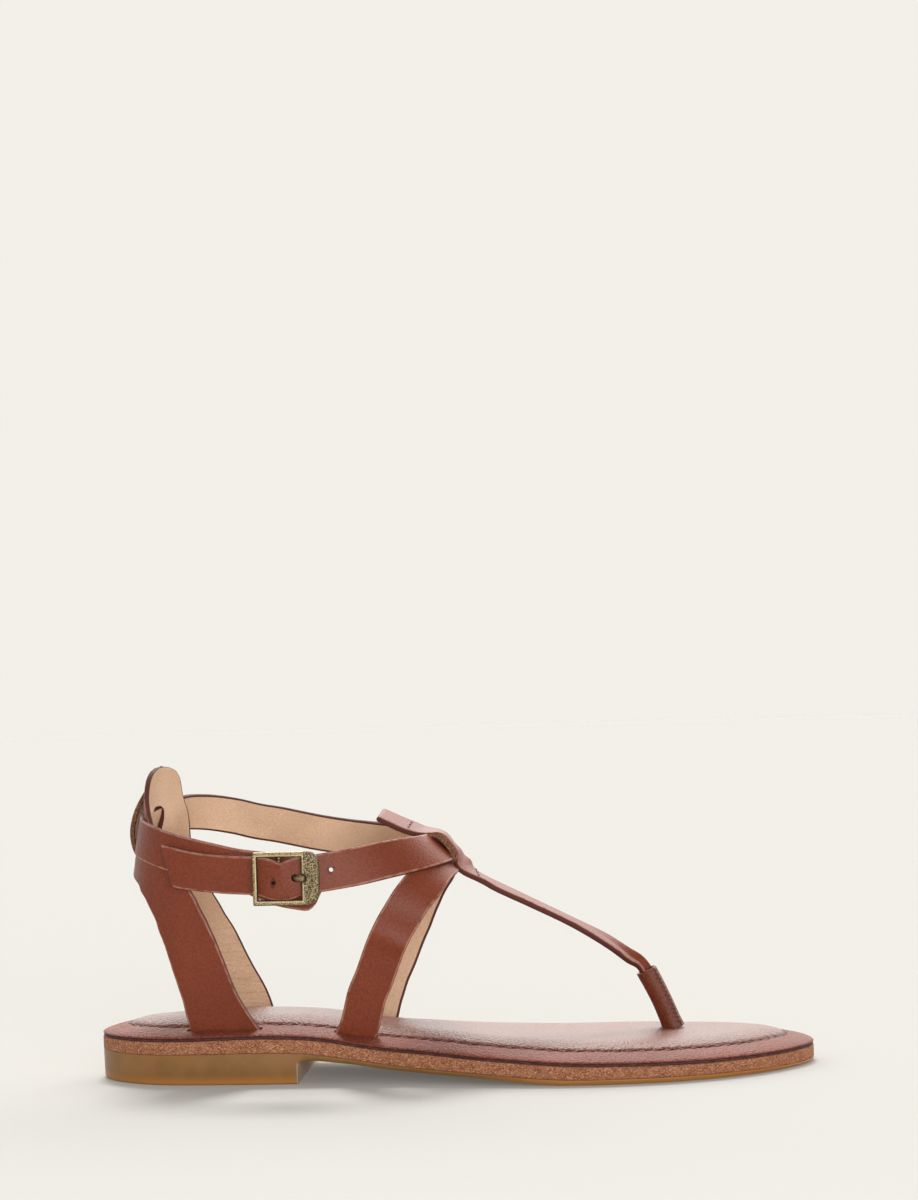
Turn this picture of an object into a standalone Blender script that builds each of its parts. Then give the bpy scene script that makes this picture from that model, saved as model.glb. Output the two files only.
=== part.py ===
"""A right-foot T-strap sandal: gum outsole with heel, fibre midsole, dark welt, padded footbed,
leather straps on the shape of the foot's last, a sleeved toe post and a brass buckle.

Frame: +X to the toe, +Y to the inner side of the foot, +Z up, origin on the floor under the middle.
Sizes are millimetres here and become metres when a mesh is made.
"""
import math

import bmesh
import bpy
import numpy as np

MM = 0.001

# Driving sizes
LENGTH = 252.0
BALL_WIDTH = 85.5
GAP = 0.3
LEATHER = 1.8
WELT_THICKNESS = 1.15
RIM_THICKNESS = 0.95
FOOTBED_CROWN = 3.6
STRAP_WIDTH = 12.8
INSTEP_WIDTH = 13.6
BREAST_X = -53.4
BREAST_STEPS = (0.0, 0.6, 2.2, 6.0)
SOLE_STATIONS = 47
BAND_COLUMNS = 4
FOOT_LEAN = 0.35

# Plan of the sole: distance from the heel's back, then reach to the outer and the inner side
# as shares of half the ball width; the toe's tip lies on the inner side of the middle line.
PLAN = np.array([
    # along, outer, inner
    (0.0, 0.000, 0.000),
    (6.0, 0.340, 0.330),
    (22.0, 0.590, 0.565),
    (48.0, 0.670, 0.645),
    (80.0, 0.690, 0.620),
    (112.0, 0.775, 0.610),
    (142.0, 0.930, 0.725),
    (166.0, 1.005, 0.880),
    (190.0, 0.970, 0.985),
    (212.0, 0.825, 0.960),
    (232.0, 0.540, 0.820),
    (246.0, 0.180, 0.590),
    (252.0, -0.200, 0.200),
])

# Side view of the sole: underside of the gum, top of the gum and middle of the dark welt.
# The heel block stands on the floor behind the breast, whatever the underside says there.
SIDE = np.array([
    # x, underside, gum top, welt
    (-126.0, 8.0, 10.4, 15.5),
    (-96.0, 8.0, 10.6, 15.7),
    (-62.0, 7.9, 10.9, 16.3),
    (-52.0, 7.9, 10.6, 15.9),
    (-46.0, 7.8, 10.0, 15.4),
    (-40.0, 7.2, 9.2, 14.6),
    (-34.0, 6.6, 8.4, 13.5),
    (-23.0, 5.0, 6.8, 12.0),
    (-10.0, 3.7, 5.4, 10.9),
    (10.0, 2.2, 3.9, 9.1),
    (24.0, 1.0, 2.8, 8.1),
    (38.0, 0.0, 2.0, 7.2),
    (60.0, 0.0, 1.8, 6.6),
    (98.0, 0.0, 1.75, 6.4),
    (126.0, 0.9, 2.4, 7.1),
])

# Edge of the gum from the floor up: how far in from the plan, and how far over the underside
GUM_EDGE = ((1.3, 0.0), (0.3, 1.0))

# Footbed from its edge inwards: how far in, and how far over the rim; the dip is the stitched groove
FOOTBED = (
    # inset, rise
    (0.0, -0.25),
    (0.6, 0.0),
    (8.8, 1.0),
    (9.7, 0.6),
    (10.6, 1.3),
    (14.0, 2.5),
    (20.0, FOOTBED_CROWN),
)

# Level ovals of the last, the form of the foot inside the straps: the back and front of each,
# its half width and how square its corners are.
LAST = np.array([
    # height, back, front, half width, squareness
    (10.0, -114.0, 112.0, 21.0, 4.0),
    (30.0, -113.0, 76.0, 26.0, 3.6),
    (50.0, -112.0, 45.0, 30.0, 3.0),
    (64.0, -112.0, 14.0, 32.5, 2.6),
    (73.0, -112.0, 0.5, 33.0, 2.4),
    (82.0, -110.5, -9.0, 32.8, 2.3),
    (92.0, -108.0, -18.0, 32.5, 2.3),
    (110.0, -104.0, -28.0, 31.0, 2.3),
])

# The heel's inner side hangs forward: by how much, and where that begins and over what stretch
# it grows in height, across the foot and as a share of the way round to the heel's back.
SWING = 8.0
SWING_HEIGHT = (72.0, 22.0)
SWING_ACROSS = (-12.0, 26.0)
SWING_AROUND = (0.25, 0.6)

# Heel piece, mirrored: where each leg's back and front edge lies, in degrees round the last from
# the middle of the heel. The legs part below the crotch; above it they are one tab.
CROTCH_HEIGHT = 67.0
HEEL_PIECE = np.array([
    # height, back edge, front edge
    (16.0, 13.6, 20.3),
    (24.0, 15.4, 23.3),
    (33.0, 17.3, 26.0),
    (42.0, 18.9, 28.0),
    (48.0, 19.0, 29.4),
    (54.0, 17.8, 30.7),
    (60.0, 15.0, 32.2),
    (64.0, 9.5, 33.5),
    (67.0, 0.0, 34.0),
    (73.0, 0.0, 32.5),
    (79.0, 0.0, 27.5),
    (85.0, 0.0, 20.0),
    (91.0, 0.0, 14.0),
    (98.0, 0.0, 12.0),
    (104.0, 0.0, 11.5),
    (107.5, 0.0, 9.5),
    (109.0, 0.0, 5.5),
])

# Ankle strap, from its buckle end back round the heel, along the inner side, over the instep and
# back to its free tip: degrees round the last (outer side positive), height and lift off the last.
ANKLE = np.array([
    # around, height, lift
    (102.0, 66.4, 0.0),
    (89.0, 70.8, 0.0),
    (66.0, 75.5, 0.0),
    (41.0, 80.0, 0.2),
    (22.0, 83.8, 0.9),
    (0.0, 87.8, 1.2),
    (-18.0, 90.8, 1.1),
    (-32.0, 91.6, 0.4),
    (-50.0, 89.4, 0.0),
    (-66.0, 87.4, 0.0),
    (-80.0, 85.8, 0.0),
    (-92.0, 84.1, 0.0),
    (-104.0, 82.4, 0.0),
    (-118.0, 80.8, 0.1),
    (-135.0, 79.8, 0.5),
    (-155.0, 79.3, 1.1),
    (-180.0, 79.2, 1.2),
    (-200.0, 78.3, 1.2),
    (-215.0, 76.8, 1.2),
    (-231.0, 75.1, 1.4),
    (-246.0, 74.0, 2.6),
    (-258.0, 73.2, 4.0),
    (-270.0, 72.3, 4.1),
    (-284.0, 72.2, 3.6),
    (-302.0, 72.8, 2.4),
    (-316.0, 74.4, 2.3),
    (-330.0, 76.8, 2.3),
])
CHAPE_SHARES = (0.55, 0.9)
TIP_SLANT = 6.0
TIP_ROWS = 9

# Instep strap, mirrored, from its slot in the footbed to the top of the instep. Its inner half
# stands further forward, by degrees that grow from a height down to the footbed.
INNER_ADVANCE = 5.0
ADVANCE_HEIGHT = (70.0, 50.0)
INSTEP = np.array([
    # around, height
    (39.0, 15.6),
    (52.0, 22.4),
    (68.0, 29.8),
    (87.0, 37.6),
    (111.0, 48.9),
    (129.5, 57.5),
    (146.0, 66.6),
    (162.0, 74.0),
    (180.0, 77.0),
])

# T-strap down the middle: tongue, bridge over the ankle strap, strap and the thong in its sleeve.
# Places are those of the underside; tilt leans the strap to the outer side.
T_STRAP = np.array([
    # x, y, z, width, tilt
    (-24.5, -1.0, 90.0, 15.0, 16.0),
    (-17.0, -1.0, 86.8, 15.0, 18.0),
    (-10.5, -1.0, 85.0, 14.0, 18.0),
    (-5.0, -0.5, 83.2, 12.5, 14.0),
    (-1.2, -0.5, 79.6, 11.5, 10.0),
    (2.0, 0.0, 74.8, 10.5, 12.0),
    (6.5, 0.5, 69.7, 9.6, 16.0),
    (13.0, 1.5, 65.5, 8.8, 18.0),
    (25.0, 3.2, 59.4, 8.4, 18.0),
    (39.0, 5.5, 52.4, 8.2, 18.0),
    (52.0, 8.8, 45.6, 7.6, 15.0),
    (61.0, 11.4, 39.9, 6.0, 8.0),
    (66.4, 13.0, 34.2, 4.4, 0.0),
    (71.2, 13.7, 22.6, 4.4, 0.0),
    (75.6, 14.0, 12.0, 4.4, 0.0),
    (77.4, 14.1, 7.6, 4.4, 0.0),
])
THONG_TOP_ROW = 12.15
SLEEVE_OUTER = (3.8, 3.4)
SLEEVE_INNER = (3.0, 2.0)
SLEEVE_SIDES = 20

# Bridge at the back of the heel tab that holds the ankle strap
HEEL_BRIDGE = np.array([
    # around, height, lift
    (0.0, 100.5, 0.7),
    (0.0, 97.5, 2.2),
    (0.0, 93.5, 4.0),
    (0.0, 88.5, 4.9),
    (0.0, 84.0, 4.3),
    (0.0, 80.5, 2.4),
    (0.0, 78.0, 0.7),
])
HEEL_BRIDGE_WIDTH = 13.0

# Buckle: a flat frame with a wide toe-side plate, a centre bar on two lugs and a prong. Pairs are
# along the strap and across it, corner radii are toe end and heel end, lifts are off the last.
BUCKLE_X = -54.2
BUCKLE_Z = 72.4
BUCKLE_FRAME = (22.5, 18.3)
FRAME_CORNERS = (3.2, 0.9)
FRAME_BEVEL = 0.5
BUCKLE_WINDOW = (14.2, 14.7)
WINDOW_CORNERS = (0.5, 0.5)
WINDOW_SHIFT = -2.0
BUCKLE_DEPTH = 1.9
BUCKLE_LIFT = 6.15
NOTCH = (4.4, 2.5)
NOTCH_DEPTH = 1.1
BAR_RADIUS = 0.8
BAR_LIFT = 2.95
BAR_SHIFT = -2.6
LUG = (2.2, 1.5)
LUG_INSET = 0.95
LUG_OVERLAP = 1.0
PRONG_HOLE_SHIFT = 2.3
PRONG_HOLE_RADIUS = 1.7
PRONG_HOLE_DEPTH = 4.0
PRONG_HOLE_LIFT = 5.0

# Prong, from beside the bar up through the strap's hole and into the notch of the plate
PRONG_RADIUS = 0.85
PRONG = (
    # shift, lift
    (-1.45, 2.95),
    (0.8, 3.0),
    (1.7, 3.7),
    (2.3, 5.0),
    (3.1, 6.8),
    (4.2, 7.9),
    (5.4, 8.15),
    (7.8, 8.1),
)


def smooth(t):
    """Soft step from 0 to 1."""
    t = np.clip(t, 0.0, 1.0)
    return t * t * (3.0 - 2.0 * t)


def curve(at, where, values):
    """Cubic curve through the rows (where, values), with slopes from their neighbours."""
    at = np.asarray(at, float)
    slopes = np.gradient(values, where, axis=0)
    i = np.clip(np.searchsorted(where, at) - 1, 0, len(where) - 2)
    span = where[i + 1] - where[i]
    t = (at - where[i]) / span
    weights = (2 * t**3 - 3 * t**2 + 1, (t**3 - 2 * t**2 + t) * span,
               3 * t**2 - 2 * t**3, (t**3 - t**2) * span)
    if values.ndim > 1:
        weights = [w[..., None] for w in weights]
    return (weights[0] * values[i] + weights[1] * slopes[i]
            + weights[2] * values[i + 1] + weights[3] * slopes[i + 1])


def along_rows(table, spacing):
    """Table rows read at even steps of about the given spacing along the rows' own number."""
    row = np.arange(len(table), dtype=float)
    return curve(np.arange(0.0, len(table) - 1 + 1e-6, spacing), row, table)


def unit(v):
    return v / np.linalg.norm(v, axis=-1, keepdims=True)


# The last

def last_point(around, height):
    """Point of the last's oval at a height, seen from the oval's middle at an angle.

    The angle starts at the back of the heel and grows to the outer side. Above the heel the oval
    is drawn a little askew, as the straps hang.
    """
    around, height = np.broadcast_arrays(np.asarray(around, float), np.asarray(height, float))
    back, front, half, square = np.moveaxis(curve(height, LAST[:, 0], LAST[:, 1:]), -1, 0)
    turn = np.radians(around)
    c, s = -np.cos(turn), -np.sin(turn)
    reach = ((2 * np.abs(c) / (front - back)) ** square + (np.abs(s) / half) ** square) ** (-1 / square)
    y = reach * s
    swing = SWING
    for value, (start, stretch) in ((height, SWING_HEIGHT), (y, SWING_ACROSS), (-c, SWING_AROUND)):
        swing = swing * smooth((value - start) / stretch)
    return np.stack([(front + back) / 2 + reach * c + swing, y, height], axis=-1)


def last_normal(around, height):
    """Outward direction of the last, from small steps to either side."""
    step = 1.0
    u = last_point(around + step, height) - last_point(around - step, height)
    v = last_point(around, height + step) - last_point(around, height - step)
    return unit(np.cross(u, v))


# The sole's plan and side view

def stations():
    """Places along the sole: close at the ends, with the heel's breast and the waist picked out."""
    even = -LENGTH / 2 * np.cos(np.linspace(0.0, math.pi, SOLE_STATIONS))
    waist = BREAST_X + np.array(BREAST_STEPS)
    closest = 1.5
    even = even[np.min(np.abs(even[:, None] - waist), axis=1) > closest]
    return np.sort(np.concatenate([even, waist]))


def plan(x):
    """Outer and inner edge of the sole at x, smooth round both ends."""
    def spread(along):
        return np.arccos(np.clip(1.0 - 2.0 * along / LENGTH, -1.0, 1.0))
    reach = curve(spread(x + LENGTH / 2), spread(PLAN[:, 0]), PLAN[:, 1:]) * BALL_WIDTH / 2
    return -reach[:, 0], reach[:, 1]


def side(x):
    """Underside of the gum, top of the gum and middle of the welt at x."""
    return np.moveaxis(curve(x, SIDE[:, 0], SIDE[:, 1:]), -1, 0)


def welt_top(x):
    return side(x)[2] + WELT_THICKNESS / 2


def rings():
    """Edge of the sole as a ring of points, outer side first, and the station of each point."""
    x = stations()
    outer, inner = plan(x)
    middle = (outer.min() + inner.max()) / 2
    there = np.stack([x, outer - middle], axis=-1)
    back = np.stack([x, inner - middle], axis=-1)[1:-1][::-1]
    return np.concatenate([there, back]), np.concatenate([x, x[1:-1][::-1]])


def inset(ring, distance):
    """Ring moved inwards by a distance along its own normals."""
    run = np.roll(ring, -1, axis=0) - np.roll(ring, 1, axis=0)
    return ring + unit(np.stack([-run[:, 1], run[:, 0]], axis=-1)) * distance


# Meshes

def new_object(name, vertices, faces, collection, material=None):
    mesh = bpy.data.meshes.new(name)
    mesh.from_pydata([tuple(v) for v in np.asarray(vertices) * MM], [], faces)
    mesh.update()
    obj = bpy.data.objects.new(name, mesh)
    collection.objects.link(obj)
    if material:
        mesh.materials.append(material)
    return obj


def closed_loft(name, loops, collection, material):
    """Closed body through rings round the sole; its ends are closed by rungs from side to side."""
    n = len(loops[0])
    faces = []
    for k in range(len(loops) - 1):
        a, b = k * n, (k + 1) * n
        faces += [(a + i, a + (i + 1) % n, b + (i + 1) % n, b + i) for i in range(n)]
    rungs = [(0, 1, n - 1)]
    rungs += [(i, i + 1, n - i - 1, n - i) for i in range(1, n // 2 - 1)]
    rungs += [(n // 2 - 1, n // 2, n // 2 + 1)]
    top = (len(loops) - 1) * n
    faces += [rung[::-1] for rung in rungs]
    faces += [tuple(top + i for i in rung) for rung in rungs]
    return new_object(name, np.concatenate(loops), faces, collection, material)


def band(places, normals, widths):
    """Grid of a strip along a path: points across each place, square to the path and the normal."""
    run = unit(np.gradient(places, axis=0))
    across = unit(np.cross(normals, run))
    share = np.linspace(-0.5, 0.5, BAND_COLUMNS)
    return places[:, None, :] + across[:, None, :] * (widths[:, None] * share)[..., None]


def seat(grid, end):
    """End a strip in its slot: its end row slides along the strip to just over the welt."""
    near = grid[1] if end == 0 else grid[-2]
    way = grid[end] - near
    level = welt_top(grid[end][:, 0]) + GAP + LEATHER * FOOT_LEAN
    grid[end] = near + way * ((level - near[:, 2]) / way[:, 2])[:, None]


def grid_object(name, grid, collection):
    rows, columns = grid.shape[:2]
    faces = []
    for i in range(rows - 1):
        for j in range(columns - 1):
            a = i * columns + j
            faces.append((a, a + columns, a + columns + 1, a + 1))
    return new_object(name, grid.reshape(-1, 3), faces, collection)


def solidify(obj, grow=0.0):
    """Give a sheet the leather's thickness outwards, with an allowance on both faces."""
    wall = obj.modifiers.new("Wall", "SOLIDIFY")
    thickness = LEATHER + 2 * grow
    wall.thickness = thickness * MM
    wall.offset = 1.0 - 2.0 * grow / thickness
    wall.use_even_offset = True


def boolean(obj, operand, operation):
    step = obj.modifiers.new(operation.title(), "BOOLEAN")
    step.operation = operation
    step.solver = "EXACT"
    step.object = operand


def make_guide(obj):
    obj.hide_render = True
    obj.display_type = "WIRE"


def principled(name, colour, roughness, metallic=0.0):
    material = bpy.data.materials.new(name)
    material.use_nodes = True
    shader = material.node_tree.nodes["Principled BSDF"]
    shader.inputs["Base Color"].default_value = (*colour, 1.0)
    shader.inputs["Roughness"].default_value = roughness
    shader.inputs["Metallic"].default_value = metallic
    return material


# Sole layers

def build_outsole(parts, material):
    """Gum sole with its heel block: flat on the floor at the heel and under the ball."""
    ring, x = rings()
    under, top, _ = side(x)
    under = np.where(x <= BREAST_X, 0.0, np.maximum(under, 0.0))
    loops = [np.column_stack([inset(ring, distance), under + rise]) for distance, rise in GUM_EDGE]
    loops.append(np.column_stack([ring, top - GAP / 2]))
    return closed_loft("outsole", loops, parts, material)


def build_layer(name, low, high, parts, material):
    """Flat layer with the sole's plan between two heights of the side view."""
    ring, _ = rings()
    loops = [np.column_stack([ring, low]), np.column_stack([ring, high])]
    return closed_loft(name, loops, parts, material)


def build_insole(parts, material):
    """Footbed: a rim, a stitched groove and a padded crown."""
    ring, x = rings()
    rim = welt_top(x) + RIM_THICKNESS
    loops = [np.column_stack([ring, welt_top(x) + GAP / 2])]
    loops += [np.column_stack([inset(ring, distance), rim + rise]) for distance, rise in FOOTBED]
    return closed_loft("insole", loops, parts, material)


# Straps

def heel_legs(grow=0.0):
    """Outer and inner half of the heel piece: rows of height, columns from front to back edge."""
    height, back, front = along_rows(HEEL_PIECE, 0.5).T
    parted = height < CROTCH_HEIGHT
    back = np.where(parted, np.maximum(back, 0.0) - grow, 0.0)
    share = np.linspace(0.0, 1.0, BAND_COLUMNS)
    around = (front + grow)[:, None] * (1 - share) + back[:, None] * share
    level = np.repeat(height[:, None], BAND_COLUMNS, axis=1)
    return last_point(around, level), last_point(-around, level)[:, ::-1]


def last_band(table, widths):
    """Strip along a path given round the last, at each row's height and lift."""
    around, height = table[:, 0], table[:, 1]
    normals = last_normal(around, height)
    places = last_point(around, height)
    if table.shape[1] > 2:
        places = places + normals * table[:, 2:3]
    return band(places, normals, widths)


def heel_piece(collection):
    """Tab and two legs as one sheet, welded along the middle of the tab."""
    bm = bmesh.new()
    for leg in heel_legs():
        seat(leg, 0)
        rows = [[bm.verts.new(p * MM) for p in row] for row in leg]
        for low, high in zip(rows, rows[1:]):
            for j in range(BAND_COLUMNS - 1):
                bm.faces.new((low[j], high[j], high[j + 1], low[j + 1]))
    bmesh.ops.remove_doubles(bm, verts=bm.verts[:], dist=0.02 * MM)
    mesh = bpy.data.meshes.new("upper")
    bm.to_mesh(mesh)
    bm.free()
    obj = bpy.data.objects.new("upper", mesh)
    collection.objects.link(obj)
    return obj


def ankle_strap():
    """One strap from the buckle end, rounded, to the slanted free tip."""
    rows = along_rows(ANKLE, 1 / 3)
    widths = np.full(len(rows), STRAP_WIDTH)
    widths[:len(CHAPE_SHARES)] *= CHAPE_SHARES
    grid = last_band(rows, widths)
    run = unit(np.gradient(grid, axis=0))
    late = smooth((np.arange(len(rows)) - len(rows) + TIP_ROWS) / (TIP_ROWS - 1))
    share = np.linspace(0.0, 1.0, BAND_COLUMNS)
    return grid - run * (TIP_SLANT * late[:, None] * share)[..., None]


def instep_rows():
    """Path of the instep strap from its outer slot over the instep to its inner slot."""
    half = along_rows(INSTEP, 0.4)
    other = half[::-1][1:].copy()
    start, stretch = ADVANCE_HEIGHT
    other[:, 0] = 360.0 - other[:, 0] - INNER_ADVANCE * smooth((start - other[:, 1]) / stretch)
    return np.concatenate([half, other])


def instep_strap():
    rows = instep_rows()
    grid = last_band(rows, np.full(len(rows), INSTEP_WIDTH))
    seat(grid, 0)
    seat(grid, -1)
    return grid


def t_strap_path():
    """Places, outward directions and widths of the T-strap from the tongue to the thong's end."""
    rows = along_rows(T_STRAP, 0.4)
    places, tilt = rows[:, :3], np.radians(rows[:, 4:5])
    run = unit(np.gradient(places, axis=0))
    outer = unit(np.cross(run, np.array([0.0, 0.0, 1.0])))
    up = unit(np.cross(outer, run))
    return places, up * np.cos(tilt) + outer * np.sin(tilt), rows[:, 3]


def t_strap():
    grid = band(*t_strap_path())
    seat(grid, -1)
    return grid


def heel_bridge():
    rows = along_rows(HEEL_BRIDGE, 0.5)
    return last_band(rows, np.full(len(rows), HEEL_BRIDGE_WIDTH))


def build_upper(parts, guides, material):
    """All straps joined where they cross, with the prong's hole in the ankle strap."""
    upper = heel_piece(parts)
    upper.data.materials.append(material)
    solidify(upper)
    for name, grid in (("ankle_strap", ankle_strap()), ("heel_bridge", heel_bridge()),
                       ("instep_strap", instep_strap()), ("t_strap", t_strap())):
        strap = grid_object(name, grid, guides)
        solidify(strap)
        make_guide(strap)
        boolean(upper, strap, "UNION")
    hole = cylinder("prong_hole", PRONG_HOLE_RADIUS, PRONG_HOLE_DEPTH, guides)
    hole.location = buckle_place(PRONG_HOLE_SHIFT, 0.0, PRONG_HOLE_LIFT)
    hole.rotation_euler = (math.pi / 2, 0.0, 0.0)
    make_guide(hole)
    boolean(upper, hole, "DIFFERENCE")
    return upper


def cut_slots(insole, guides):
    """Slots in the footbed: each strap's foot with a little room round it, right through."""
    below = np.array([0.0, 0.0, 4.0])
    foot_rows = 5
    rows = instep_rows()
    instep = last_band(rows, np.full(len(rows), INSTEP_WIDTH + 2 * GAP))
    places, normals, widths = t_strap_path()
    thong = band(places, normals, widths + 2 * GAP)
    outer_leg, inner_leg = heel_legs(grow=1.0)
    feet = (("outer_leg_slot", outer_leg), ("inner_leg_slot", inner_leg), ("outer_instep_slot", instep),
            ("inner_instep_slot", instep[::-1, ::-1]), ("thong_slot", thong[::-1, ::-1]))
    for name, grid in feet:
        foot = grid[:foot_rows].copy()
        seat(foot, 0)
        slot = grid_object(name, np.concatenate([foot[:1] - below, foot]), guides)
        solidify(slot, GAP)
        make_guide(slot)
        boolean(insole, slot, "DIFFERENCE")


def build_sleeve(parts, material):
    """Oval leather tube round the thong, from under the T-strap down to the footbed."""
    row = np.arange(len(T_STRAP), dtype=float)
    top, foot = curve(np.array([THONG_TOP_ROW, row[-1]]), row, T_STRAP[:, :3])
    axis = unit(foot - top)
    outer = unit(np.cross(axis, np.array([1.0, 0.0, 0.0])))
    fore = unit(np.cross(outer, axis))
    fore = fore * np.sign(fore[0])
    top = top + fore * LEATHER / 2
    foot = foot + fore * LEATHER / 2
    turn = np.linspace(0.0, 2 * math.pi, SLEEVE_SIDES, endpoint=False)[:, None]
    loops = []
    for half, end in ((SLEEVE_OUTER, foot), (SLEEVE_OUTER, top), (SLEEVE_INNER, top), (SLEEVE_INNER, foot)):
        loop = end + fore * half[1] * np.cos(turn) + outer * half[0] * np.sin(turn)
        if end is foot:
            floor = welt_top(loop[:, 0]) + RIM_THICKNESS + FOOTBED_CROWN + GAP
            loop += axis * ((floor - loop[:, 2]) / axis[2])[:, None]
        loops.append(loop)
    return ring_loft("toe_post_sleeve", loops, parts, material)


def ring_loft(name, loops, collection, material):
    """Closed body with a hole through it: each loop joins the next, and the last the first."""
    n = len(loops[0])
    faces = []
    for k in range(len(loops)):
        a, b = k * n, (k + 1) % len(loops) * n
        faces += [(a + i, a + (i + 1) % n, b + (i + 1) % n, b + i) for i in range(n)]
    obj = new_object(name, np.concatenate(loops), faces, collection, material)
    bm = bmesh.new()
    bm.from_mesh(obj.data)
    bmesh.ops.recalc_face_normals(bm, faces=bm.faces[:])
    bm.to_mesh(obj.data)
    bm.free()
    return obj


# Buckle

def buckle_place(shift, rise, lift):
    """Point at a shift to the toe and a rise from the buckle's middle, lifted off the last."""
    wall = last_point(90.0, BUCKLE_Z)[1]
    return ((BUCKLE_X + shift) * MM, (wall - lift) * MM, (BUCKLE_Z + rise) * MM)


def rounded_rectangle(width, height, radii, shift=0.0, steps=5):
    """Loop of a rectangle with a corner radius for its toe end and one for its heel end."""
    loop = []
    for quarter, (sx, sz) in enumerate(((1, 1), (-1, 1), (-1, -1), (1, -1))):
        radius = radii[0] if sx > 0 else radii[1]
        for turn in np.linspace(0.0, math.pi / 2, steps) + quarter * math.pi / 2:
            loop.append((shift + sx * (width / 2 - radius) + radius * math.cos(turn),
                         sz * (height / 2 - radius) + radius * math.sin(turn)))
    return np.array(loop)


def cylinder(name, radius, length, collection, sides=16):
    bm = bmesh.new()
    bmesh.ops.create_cone(bm, cap_ends=True, segments=sides, radius1=radius * MM, radius2=radius * MM,
                          depth=length * MM)
    mesh = bpy.data.meshes.new(name)
    bm.to_mesh(mesh)
    bm.free()
    obj = bpy.data.objects.new(name, mesh)
    collection.objects.link(obj)
    return obj


def box(name, size, collection):
    bm = bmesh.new()
    bmesh.ops.create_cube(bm, size=1.0)
    bmesh.ops.scale(bm, vec=[s * MM for s in size], verts=bm.verts[:])
    mesh = bpy.data.meshes.new(name)
    bm.to_mesh(mesh)
    bm.free()
    obj = bpy.data.objects.new(name, mesh)
    collection.objects.link(obj)
    return obj


def frame_ring(parts, material):
    """Flat ring of the frame, its outer rim bevelled on the side away from the foot."""
    width, height = BUCKLE_FRAME
    outline = rounded_rectangle(width, height, FRAME_CORNERS)
    inner_corners = [radius - FRAME_BEVEL / 2 for radius in FRAME_CORNERS]
    crest = rounded_rectangle(width - 2 * FRAME_BEVEL, height - 2 * FRAME_BEVEL, inner_corners)
    window = rounded_rectangle(*BUCKLE_WINDOW, WINDOW_CORNERS, WINDOW_SHIFT)
    levels = ((window, 0.0), (outline, 0.0), (outline, BUCKLE_DEPTH - FRAME_BEVEL),
              (crest, BUCKLE_DEPTH), (window, BUCKLE_DEPTH))
    wall = last_point(90.0, BUCKLE_Z)[1]
    loops = []
    for loop, depth in levels:
        y = np.full(len(loop), wall - BUCKLE_LIFT - depth)
        loops.append(np.column_stack([BUCKLE_X + loop[:, 0], y, BUCKLE_Z + loop[:, 1]]))
    return ring_loft("buckle_frame", loops, parts, material)


def build_buckle_frame(parts, guides, material):
    """Cast frame: the ring, two lugs behind it with the centre bar, and the prong's notch."""
    frame = frame_ring(parts, material)
    lug_rise = BUCKLE_FRAME[1] / 2 - LUG_INSET
    lug_depth = BUCKLE_LIFT - BAR_LIFT + BAR_RADIUS + LUG_OVERLAP
    pieces = []
    for name, rise in (("upper_lug", lug_rise), ("lower_lug", -lug_rise)):
        lug = box(name, (LUG[0], lug_depth, LUG[1]), guides)
        lug.location = buckle_place(BAR_SHIFT, rise, BAR_LIFT - BAR_RADIUS + lug_depth / 2)
        pieces.append(lug)
    bar = cylinder("centre_bar", BAR_RADIUS, 2 * lug_rise, guides)
    bar.location = buckle_place(BAR_SHIFT, 0.0, BAR_LIFT)
    for piece in pieces + [bar]:
        make_guide(piece)
        boolean(frame, piece, "UNION")
    notch = box("prong_notch", (2 * NOTCH[0], 2 * NOTCH_DEPTH, NOTCH[1]), guides)
    notch.location = buckle_place(WINDOW_SHIFT + BUCKLE_WINDOW[0] / 2, 0.0, BUCKLE_LIFT + BUCKLE_DEPTH)
    make_guide(notch)
    boolean(frame, notch, "DIFFERENCE")
    return frame


def build_prong(parts, material):
    """Bent pin from beside the bar, up through the strap's hole and into the plate's notch."""
    shape = bpy.data.curves.new("buckle_prong", "CURVE")
    shape.dimensions = "3D"
    shape.bevel_depth = PRONG_RADIUS * MM
    shape.bevel_resolution = 2
    shape.use_fill_caps = True
    spline = shape.splines.new("POLY")
    spline.points.add(len(PRONG) - 1)
    for point, (shift, lift) in zip(spline.points, PRONG):
        point.co = (*buckle_place(shift, 0.0, lift), 1.0)
    shape.materials.append(material)
    prong = bpy.data.objects.new("buckle_prong", shape)
    parts.objects.link(prong)
    return prong


def main():
    for obj in list(bpy.data.objects):
        bpy.data.objects.remove(obj, do_unlink=True)
    scene = bpy.context.scene.collection
    parts = bpy.data.collections.new("sandal")
    guides = bpy.data.collections.new("strap_shapes")
    scene.children.link(parts)
    scene.children.link(guides)
    gum = principled("gum", (0.35, 0.18, 0.06), 0.5)
    fibre = principled("fibre_board", (0.28, 0.12, 0.06), 0.8)
    dark = principled("dark_welt", (0.03, 0.02, 0.02), 0.6)
    leather = principled("brown_leather", (0.18, 0.045, 0.02), 0.45)
    brass = principled("antique_brass", (0.35, 0.25, 0.11), 0.45, 0.9)
    _, x = rings()
    _, gum_top, welt = side(x)
    build_outsole(parts, gum)
    build_layer("midsole", gum_top + GAP / 2, welt - WELT_THICKNESS / 2 - GAP / 2, parts, fibre)
    build_layer("welt", welt - WELT_THICKNESS / 2 + GAP / 2, welt + WELT_THICKNESS / 2 - GAP / 2, parts, dark)
    insole = build_insole(parts, leather)
    cut_slots(insole, guides)
    build_upper(parts, guides, leather)
    build_sleeve(parts, leather)
    build_buckle_frame(parts, guides, brass)
    build_prong(parts, brass)


main()
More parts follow.
